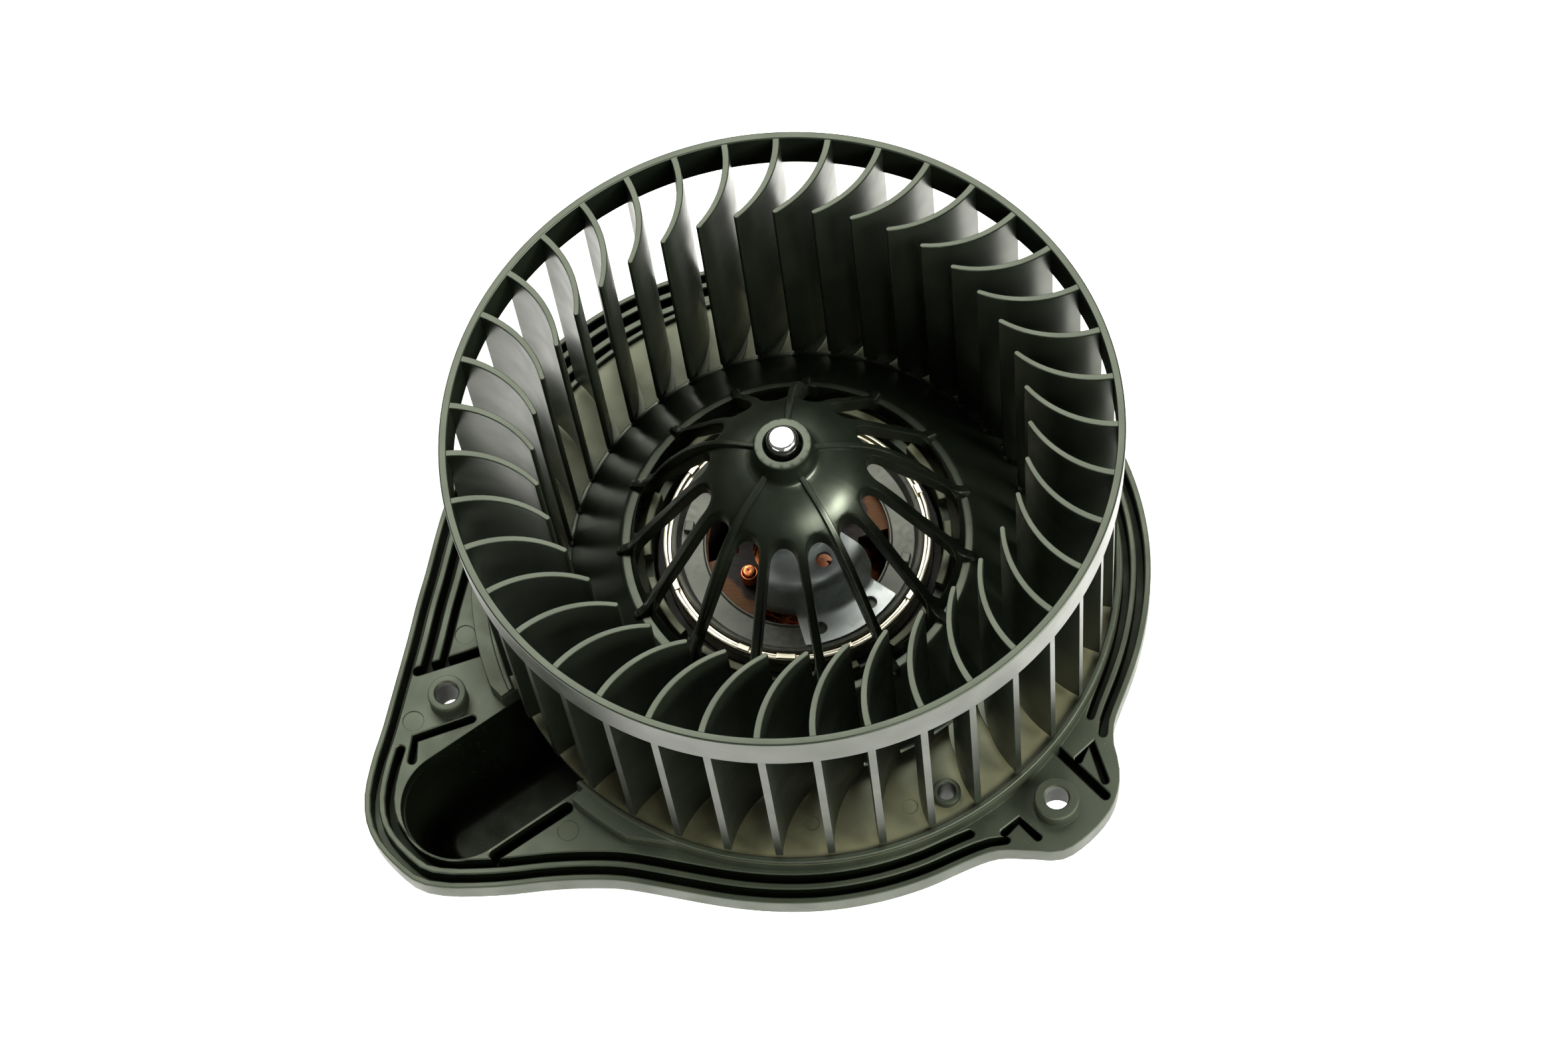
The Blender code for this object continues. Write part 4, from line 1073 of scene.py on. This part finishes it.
def make_flange(plastic, painted_shade_material):
    """Ring round the motor, well and collar, with the plate, duct, shoulders and bosses on them."""
    centre_line = [
        (CUP_INNER_R, PLATE_BOTTOM), (CUP_INNER_R, CUP_TOP), (CUP_OUTER_R, CUP_TOP),
        (CUP_OUTER_R, FLOOR_TOP), (WELL_R, FLOOR_TOP), (WELL_R, COLLAR_TOP), (COLLAR_OUTER_R, COLLAR_TOP),
        (COLLAR_OUTER_R, PLATE_BOTTOM + 2.0), (WELL_R - 0.6, PLATE_BOTTOM + 2.0),
        (WELL_R - 0.6, FLOOR_BOTTOM), (CUP_OUTER_R, FLOOR_BOTTOM), (CUP_OUTER_R, PLATE_BOTTOM),
    ]
    flange = turned("flange", soften(centre_line, 0.4), 240)
    parts = [make_plate(), make_duct()]
    for start, end in SHOULDERS:
        line = arc((0, 0), COLLAR_OUTER_R - 0.7, start, end + 9.0, 20)
        line += [polar(COLLAR_OUTER_R + 0.2, end + 8.0)] + arc((0, 0), SHOULDER_R, end, start, 14)
        parts.append(block("shoulder", line, PLATE_TOP - 2.0, COLLAR_TOP - 0.4, 0.3))
    for centre, radius in ((LEFT_BOSS, LEFT_BOSS_R), (RIGHT_BOSS, LUG_BOSS_R), (REAR_BOSS, LUG_BOSS_R)):
        parts.append(boss("boss", centre, radius, PLATE_BOTTOM - 1.0, MOUNT_BOSS_TOP))
    parts.append(boss("drain", DRAIN_BOSS, DRAIN_BOSS_R, PLATE_BOTTOM, DRAIN_TOP))
    for degrees in EAR_DEGREES:
        centre = polar(EAR_R, degrees)
        parts.append(cylinder("ear", centre, EAR_BOSS_R, PLATE_BOTTOM + 0.3, FLOOR_BOTTOM + 0.5, 48))
    combine(flange, parts, "UNION")
    combine(flange, duct_cuts() + hole_cuts() + notch_cuts(), "DIFFERENCE")
    # The recesses below the plate's face get the painted shade material.
    return paint_recess_shade(finish_piece(flange, plastic, "housing", "black_plastic", "mounting_flange"), painted_shade_material)


# Motor -----------------------------------------------------------------------


def make_can(steel):
    """The drawn can, its bead near the mouth, and the tabs rolled over the bracket."""
    low = CAN_LOW.z
    line = [
        (CAN_R, 71.6), (CAN_R, low + 6.0), (CAN_R - 0.35, low + 4.9), (CAN_R - 1.2, low + 3.7),
        (CAN_R - 2.4, low + 3.1), (CAN_R - 3.6, low + 3.0), (11.4, low + 3.0), (10.4, low + 2.7),
        (9.9, low + 1.9), (9.9, low + 0.9), (9.6, low + 0.2), (9.0, low), (0.0, low), (0.0, low + 0.8),
        (8.3, low + 0.8), (8.3, 13.0), (9.9, 13.0), (9.9, low + 4.8), (28.0, low + 4.8), (29.6, low + 5.3),
        (30.4, low + 6.3), (CAN_INNER_R, low + 7.4), (CAN_INNER_R, 72.9), (31.1, 72.9), (31.25, 73.6),
        (31.5, 73.9), (31.9, 73.95), (CAN_R - 0.12, 73.75), (CAN_R, 73.3), (CAN_R - 0.05, 72.8),
        (CAN_R - 0.35, 72.4), (CAN_R - 0.35, 72.0),
    ]
    can = turned("can", line, 200)
    cuts = []
    for index in range(VENT_COUNT):
        middle = 360.0 / VENT_COUNT * index
        outline = arc((0, 0), 24.0, middle - 17, middle + 17, 10)
        outline += arc((0, 0), 15.5, middle + 13, middle - 13, 8)
        outline = soften(anticlockwise(outline), 1.2, 4, 30.0)
        cuts.append(slab("vent", outline, [(low, 0.0), (low + 6.0, 0.0)]))
    combine(can, cuts, "DIFFERENCE")
    tabs = []
    for degrees, width in CRIMPS:
        tab = arc((0, 0), CAN_R - 0.25, -width, width, 6) + arc((0, 0), 30.75, width, -width, 6)
        tabs.append(block("crimp", turn_points(tab, degrees), 72.5, CAN_TOP, 0.25))
    combine(can, tabs, "UNION")
    return finish_piece(can, steel, "housing", "can_steel", "motor_can")


def bracket_plan():
    """Both arms seen from above: a wide tower round the bearing and a foot out to the rim."""
    foot, tower, neck = 28.2, 19.9, 10.6
    half = [polar(neck, -130.0)] + arc((0, 0), tower, -122, -96, 10) + arc((0, 0), foot, -91, -38, 20)
    half += [polar(20.6, -37.0)] + arc((0, 0), tower, -34, -31, 2) + arc((0, 0), neck, -24, 46, 16)
    return soften(half + turn_points(half, 180.0), 1.4, 4, 25.0)


def make_bracket(zinc, dull):
    """The pressed end bracket: raised arms with their step, cup and holes, and a dull flat ring."""
    arm = [
        (28.0, 71.6), (28.0, 72.6), (22.2, 72.75), (21.2, 73.1), (20.5, 73.8), (20.1, 75.0), (19.7, 76.6),
        (18.9, 80.6), (18.4, 82.1), (17.6, 83.2), (16.4, 83.9), (14.5, 84.2), (9.4, 85.0), (9.4, 83.8),
        (14.4, 83.0), (15.8, 82.7), (16.8, 81.9), (17.3, 80.5), (18.3, 75.6), (18.9, 73.6), (20.0, 72.2),
        (21.8, 71.6),
    ]
    bracket = turned("bracket", arm, 200)
    combine(bracket, [slab("plan", bracket_plan(), [(70.0, 0.0), (88.0, 0.0)])], "INTERSECT")
    cup = [
        (8.3, 80.2), (9.4, 80.2), (10.0, 81.2), (10.0, 90.6), (9.8, 91.3), (9.3, 91.9), (8.6, 92.2),
        (5.4, 92.2), (5.4, 90.8), (8.3, 90.8),
    ]
    combine(bracket, [turned("cup", cup, 96)], "UNION")
    cuts = []
    for turn in (0, 180):
        for spot in (polar(24.2, -82 + turn), polar(24.5, -50 + turn)):
            cuts.append(cylinder("hole", spot, 1.6, 69.0, 78.0, 40))
        cuts.append(cylinder("hole", polar(13.2, -63 + turn), 1.9, 80.0, 88.0, 40))
    combine(bracket, cuts, "DIFFERENCE")
    finish_piece(bracket, zinc, "housing", "zinc_plate", "end_bracket", sharp_deg=30.0)

    rim = [
        (28.2, 70.6), (30.3, 70.6), (30.3, 73.7), (30.1, 74.15), (29.6, 74.3), (29.1, 74.1), (28.9, 73.6),
        (28.5, 72.3), (28.1, 71.6), (22.9, 71.5), (22.5, 71.9), (22.2, 71.9), (22.2, 71.0), (22.4, 70.6),
    ]
    ring = turned("ring", rim, 200)
    for degrees in (-18.0, 166.0):
        tab = [(25.4, -1.3), (27.6, -1.3), (27.6, 1.3), (25.4, 1.3)]
        combine(ring, [block("tab", turn_points(tab, degrees), 71.0, 73.4, 0.3)], "UNION")
    finish_piece(ring, dull, "housing", "zinc_plate", "end_bracket", sharp_deg=30.0)


def make_shaft(steel):
    """The shaft with its polished, domed end and a small chamfer below."""
    top = SHAFT_HIGH.z
    low = SHAFT_LOW.z
    line = [
        (0.0, low), (SHAFT_R - 0.5, low), (SHAFT_R - 0.1, low + 0.4), (SHAFT_R, low + 0.8),
        (SHAFT_R, top - 1.5), (SHAFT_R - 0.05, top - 1.2), (3.3, top - 0.5), (3.05, top - 0.2),
        (2.7, top - 0.04), (2.4, top), (0.0, top),
    ]
    shaft = turned("shaft_fine", line, 96)
    return finish_piece(shaft, steel, "rotor", "polished_steel", "shaft", sharp_deg=60.0)


def make_choke(name, degrees, copper):
    """A suppressor coil: close turns of enamelled wire on an upright core."""
    low, high = (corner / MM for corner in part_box(name))
    centre = polar(CHOKE_CENTRE_R, degrees)
    helix = []
    steps = CHOKE_TURNS * 20
    for step in range(steps + 1):
        t = step / steps
        x, y = polar(1.9, 360.0 * CHOKE_TURNS * t)
        helix.append((centre[0] + x, centre[1] + y, low.z + 0.95 + (high.z - low.z - 1.9) * t))
    rod = soften([(0.0, low.z), (1.5, low.z), (1.5, high.z), (0.0, high.z)], 0.25, 3, 30.0)
    core = turned("core", rod, 40, centre)
    coil = join(core, [tube_along("wire", helix, CHOKE_WIRE_R, 10)])
    return finish_piece(coil, copper, "housing", "copper", name)


def make_windings(copper):
    """End turns laid over the core from slot to slot, seen through the vents."""
    low, high = (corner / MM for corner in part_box("armature_windings"))
    above = [(6.6, 50.3), (19.8, 50.3), (20.2, 52.6), (19.0, 55.0), (15.0, 56.4), (9.0, 57.2), (6.6, 57.2)]
    under = [(6.6, 21.7), (6.6, 15.9), (13.5, 15.4), (18.4, 17.0), (20.1, 19.6), (19.8, 21.7)]
    coil = turned("upper", soften(above, 0.8, 4), 72)
    bars = []
    for index in range(SLOT_COUNT):
        line = [(12.2, -0.5), (19.5, -0.65), (19.5, 0.65), (12.2, 0.5)]
        line = turn_points(line, (index + 0.5) * SLOT_PITCH_DEG)
        bars.append(slab("bar", line, [(20.5, 0.0), (51.5, 0.0)]))
    combine(coil, bars + [turned("lower", soften(under, 0.8, 4), 72)], "UNION")
    wires = []
    for index in range(SLOT_COUNT):
        for layer, radius in enumerate((18.9, 17.4, 15.9)):
            loop = []
            for step in range(13):
                t = step / 12
                swell = math.sin(math.pi * t)
                around = (index + 0.5 + 4.0 * t) * SLOT_PITCH_DEG
                x, y = polar(radius - 6.5 * swell * (0.6 + 0.2 * layer), around)
                loop.append((x, y, 52.8 + 4.3 * min(1.0, 2.2 * swell) ** 0.7 - 0.5 * layer))
            wires.append(tube_along("wire", loop, WINDING_WIRE_R))
    coil = join(coil, wires)
    for vertex in coil.data.vertices:
        vertex.co.z = min(max(vertex.co.z, low.z), high.z)
    return finish_piece(coil, copper, "rotor", "copper", "armature_windings")


def make_cover(plastic):
    """The motor cover under the flange: rounded base, duct window, screw ears and plug socket."""
    top = COVER_TOP
    line = [
        (0.0, 0.0), (33.4, 0.0), (34.4, 0.15), (35.3, 0.6), (35.8, 1.3), (COVER_R, 2.2),
        (COVER_R, top - 0.25), (COVER_R - 0.25, top), (COVER_INNER_R + 0.25, top),
        (COVER_INNER_R, top - 0.25), (COVER_INNER_R, 4.4), (33.6, 3.4), (32.8, 2.7), (31.8, 2.4), (0.0, 2.4),
    ]
    cover = turned("cover", line, 180)
    parts = []
    for degrees in EAR_DEGREES:
        round_end = arc((EAR_R, 0.0), EAR_BOSS_R, -90, 90, 20)
        outline = [(34.6, -EAR_BOSS_R)] + round_end + [(34.6, EAR_BOSS_R)]
        parts.append(block("ear", turn_points(outline, degrees), top - 4.0, top, 0.35))
    socket = soften([(34.8, -9.0), (52.0, -9.0), (52.0, 9.0), (34.8, 9.0)], 1.2, 5)
    parts.append(block("socket", turn_points(socket, SOCKET_DEG), 8.0, 22.0, 0.5))
    seat = [(10.2, 2.0), (11.8, 2.0), (11.8, 5.6), (10.2, 5.6)]
    parts.append(turned("seat", soften(seat, 0.3), 72))
    combine(cover, parts, "UNION")
    cuts = [cylinder("inside", (0, 0), COVER_INNER_R, 6.0, top + 1, 180)]
    window = [(25.0, -12.0), (45.0, -12.0), (45.0, 12.0), (25.0, 12.0)]
    cuts.append(slab("window", turn_points(window, DUCT_DEG), [(27.0, 0.0), (43.0, 0.0)]))
    plug = soften([(38.0, -7.4), (56.0, -7.4), (56.0, 7.4), (38.0, 7.4)], 0.8, 4)
    levels = [(9.6, 0.4), (10.0, 0.0), (20.0, 0.0), (20.4, 0.4)]
    cuts.append(slab("plug", turn_points(plug, SOCKET_DEG), levels))
    for degrees in EAR_DEGREES:
        cuts.append(cylinder("hole", polar(EAR_R, degrees), 2.1, top - 6.0, top, 40, 0.3))
    for side in (-3.6, 3.6):
        line = [(30.0, side - 1.05), (40.0, side - 1.05), (40.0, side + 1.05), (30.0, side + 1.05)]
        cuts.append(slab("slit", turn_points(line, SOCKET_DEG), [(12.4, 0.0), (17.6, 0.0)]))
    combine(cover, cuts, "DIFFERENCE")
    return finish_piece(cover, plastic, "housing", "black_plastic", "motor_cover")


def make_brush_spring(name, degrees, steel):
    """A coiled push spring between a brush and the end of its holder."""
    low, high = (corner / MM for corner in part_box(name))
    middle = (low.z + high.z) / 2
    helix = []
    steps = SPRING_TURNS * 16
    for step in range(steps + 1):
        t = step / steps
        turn = 2 * math.pi * SPRING_TURNS * t
        spot = (SPRING_START_R + SPRING_LENGTH * t, SPRING_COIL_R * math.cos(turn))
        x, y = turn_points([spot], degrees)[0]
        helix.append((x, y, middle + SPRING_COIL_R * math.sin(turn)))
    spring = tube_along(name + "_fine", helix, SPRING_WIRE_R)
    return finish_piece(spring, steel, "housing", "polished_steel", name)


# Scene -----------------------------------------------------------------------


def paint(node, material):
    """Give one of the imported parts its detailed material, on every slot it has."""
    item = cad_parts[node]
    for slot in range(len(item.data.materials)):
        item.data.materials[slot] = material


def area_light(name, spot, size, power, colour):
    light = bpy.data.lights.new(name, "AREA")
    light.shape = "RECTANGLE"
    light.size, light.size_y = size
    light.energy = power
    light.color = colour
    made = place(name, light)
    made.location = spot
    made.rotation_euler = (LIGHT_AIM - Vector(spot)).to_track_quat("-Z", "Y").to_euler()


def add_camera():
    """The steep view from the front, a little rolled."""
    camera = bpy.data.cameras.new("camera")
    camera.lens = 84.9
    camera.sensor_width = 36.0
    camera.clip_start = 0.05
    heading = math.radians(CAMERA_HEADING_DEG)
    tilt = math.radians(CAMERA_TILT_DEG)
    roll = math.radians(CAMERA_ROLL_DEG)
    level = math.cos(tilt)
    forward = Vector((-level * math.sin(heading), level * math.cos(heading), -math.sin(tilt)))
    level_right = Vector((math.cos(heading), math.sin(heading), 0.0))
    level_up = level_right.cross(forward)
    right = level_right * math.cos(roll) - level_up * math.sin(roll)
    up = level_right * math.sin(roll) + level_up * math.cos(roll)
    turn = Matrix((right, up, -forward)).transposed().to_4x4()
    made = place("camera", camera)
    made.matrix_world = Matrix.Translation(CAMERA_SPOT) @ turn
    bpy.context.scene.camera = made


def add_floor():
    bm = bmesh.new()
    bmesh.ops.create_grid(bm, x_segments=1, y_segments=1, size=3.0)
    floor = bpy.data.meshes.new("floor")
    bm.to_mesh(floor)
    bm.free()
    floor.materials.append(floor_material())
    stage = place("floor", floor)


def add_lights():
    """A big soft box behind, smaller ones at the sides and in front, and a dim white room."""
    world = bpy.data.worlds.new("studio")
    world.use_nodes = True
    world.node_tree.nodes["Background"].inputs["Color"].default_value = (1.0, 1.0, 0.98, 1.0)
    world.node_tree.nodes["Background"].inputs["Strength"].default_value = 0.16
    bpy.context.scene.world = world
    area_light("soft_box", (-0.1, 0.75, 1.25), (1.4, 1.1), 36.0, (1.0, 0.99, 0.93))
    area_light("side_box", (1.0, -0.5, 0.75), (0.5, 0.4), 31.0, (1.0, 0.99, 0.94))
    area_light("front_box", (0.5, -0.95, 0.95), (0.5, 0.5), 14.0, (1.0, 0.99, 0.94))
    area_light("left_box", (-0.85, -0.75, 0.3), (0.8, 0.3), 3.5, (1.0, 1.0, 0.96))
    area_light("low_box", (0.5, -1.0, 0.28), (0.9, 0.3), 2.6, (1.0, 1.0, 0.97))


def main():
    wheel_plastic = black_plastic(
        "wheel_plastic", (0.0032, 0.0045, 0.0029), (0.0062, 0.0082, 0.005), (0.28, 0.38),
        bevel=0.0, grain=0.03,
    )
    flange_plastic = black_plastic(
        "flange_plastic", (0.0112, 0.014, 0.009), (0.0212, 0.0257, 0.0165), (0.38, 0.52), dust_and_light=0.5,
    )
    # Painted shade: a darker, less shiny copy of the flange plastic, laid on the recesses below the plate's
    # face.
    painted_shade_plastic = black_plastic(
        "painted_shade_plastic", (0.0015, 0.002, 0.001), (0.003, 0.0038, 0.002), (0.35, 0.5),
        dust_and_light=0.5, bevel=0.0, grain=0.05, shine=0.12,
    )
    cover_plastic = black_plastic("cover_plastic", (0.02, 0.021, 0.018), (0.028, 0.03, 0.025), (0.42, 0.56))
    can_steel = bright_metal("can_steel", (0.84, 0.79, 0.62), (0.26, 0.4), (1.0, 1.0, 8.0))
    shaft_steel = bright_metal("shaft_steel", (0.84, 0.84, 0.83), (0.1, 0.2))
    spring_steel = bright_metal("spring_steel", (0.66, 0.66, 0.65), (0.22, 0.36))
    screw_steel = bright_metal("screw_steel", (0.6, 0.61, 0.62), (0.26, 0.42), bevel=0.15)
    core_steel = bright_metal("core_steel", (0.4, 0.4, 0.41), (0.4, 0.6), (1.0, 1.0, 40.0))
    zinc = zinc_metal()
    dull_zinc = matt_solid("dull_zinc", (0.1, 0.105, 0.09), (0.14, 0.145, 0.125), 0.45, 700.0, 0.01, 0.7)
    copper = enamelled_copper()
    bar_copper = bright_metal("bar_copper", (0.83, 0.42, 0.26), (0.24, 0.4))
    brass = bright_metal("brass", (0.78, 0.6, 0.28), (0.25, 0.42), bevel=0.12)
    bronze = matt_solid("bronze", (0.34, 0.2, 0.1), (0.48, 0.3, 0.15), 0.45, 1500.0, 0.03, 0.8)
    ferrite = matt_solid("ferrite", (0.035, 0.035, 0.037), (0.06, 0.06, 0.062), 0.7, 900.0, 0.06)
    carbon = matt_solid("carbon", (0.02, 0.02, 0.021), (0.05, 0.045, 0.04), 0.5, 1300.0, 0.03)
    rubber = matt_solid("rubber", (0.014, 0.014, 0.014), (0.024, 0.024, 0.024), 0.7, 700.0, 0.05)
    resin = amber_board()

    make_wheel(wheel_plastic)
    make_flange(flange_plastic, painted_shade_plastic)
    make_can(can_steel)
    make_bracket(zinc, dull_zinc)
    make_shaft(shaft_steel)
    make_windings(copper)
    make_cover(cover_plastic)
    make_choke("choke_a", -147.0, copper)
    make_choke("choke_b", 33.0, copper)
    make_brush_spring("brush_spring_a", 30.0, spring_steel)
    make_brush_spring("brush_spring_b", 210.0, spring_steel)

    for material, nodes in (
        (wheel_plastic, ("impeller",)),
        (flange_plastic, ("mounting_flange",)),
        (cover_plastic, ("motor_cover",)),
        (can_steel, ("motor_can",)),
        (shaft_steel, ("shaft",)),
        (core_steel, ("armature_core",)),
        (spring_steel, ("magnet_spring_a", "magnet_spring_b", "upper_retainer", "lower_retainer")),
        (spring_steel, ("brush_spring_a", "brush_spring_b")),
        (screw_steel, ("cover_screw_1", "cover_screw_2", "cover_screw_3")),
        (zinc, ("end_bracket",)),
        (copper, ("armature_windings", "choke_a", "choke_b")),
        (bar_copper, ("commutator",)),
        (brass, ("thrust_washer_upper", "thrust_washer_lower", "brush_holder_a", "brush_holder_b")),
        (brass, ("terminal_a", "terminal_b")),
        (bronze, ("upper_bearing", "lower_bearing")),
        (ferrite, ("magnet_a", "magnet_b")),
        (carbon, ("brush_a", "brush_b")),
        (rubber, ("upper_isolator", "lower_isolator")),
        (resin, ("brush_card",)),
    ):
        for node in nodes:
            paint(node, material)

    add_floor()
    add_lights()
    bpy.context.scene.view_settings.view_transform = "Standard"
    add_camera()


main()
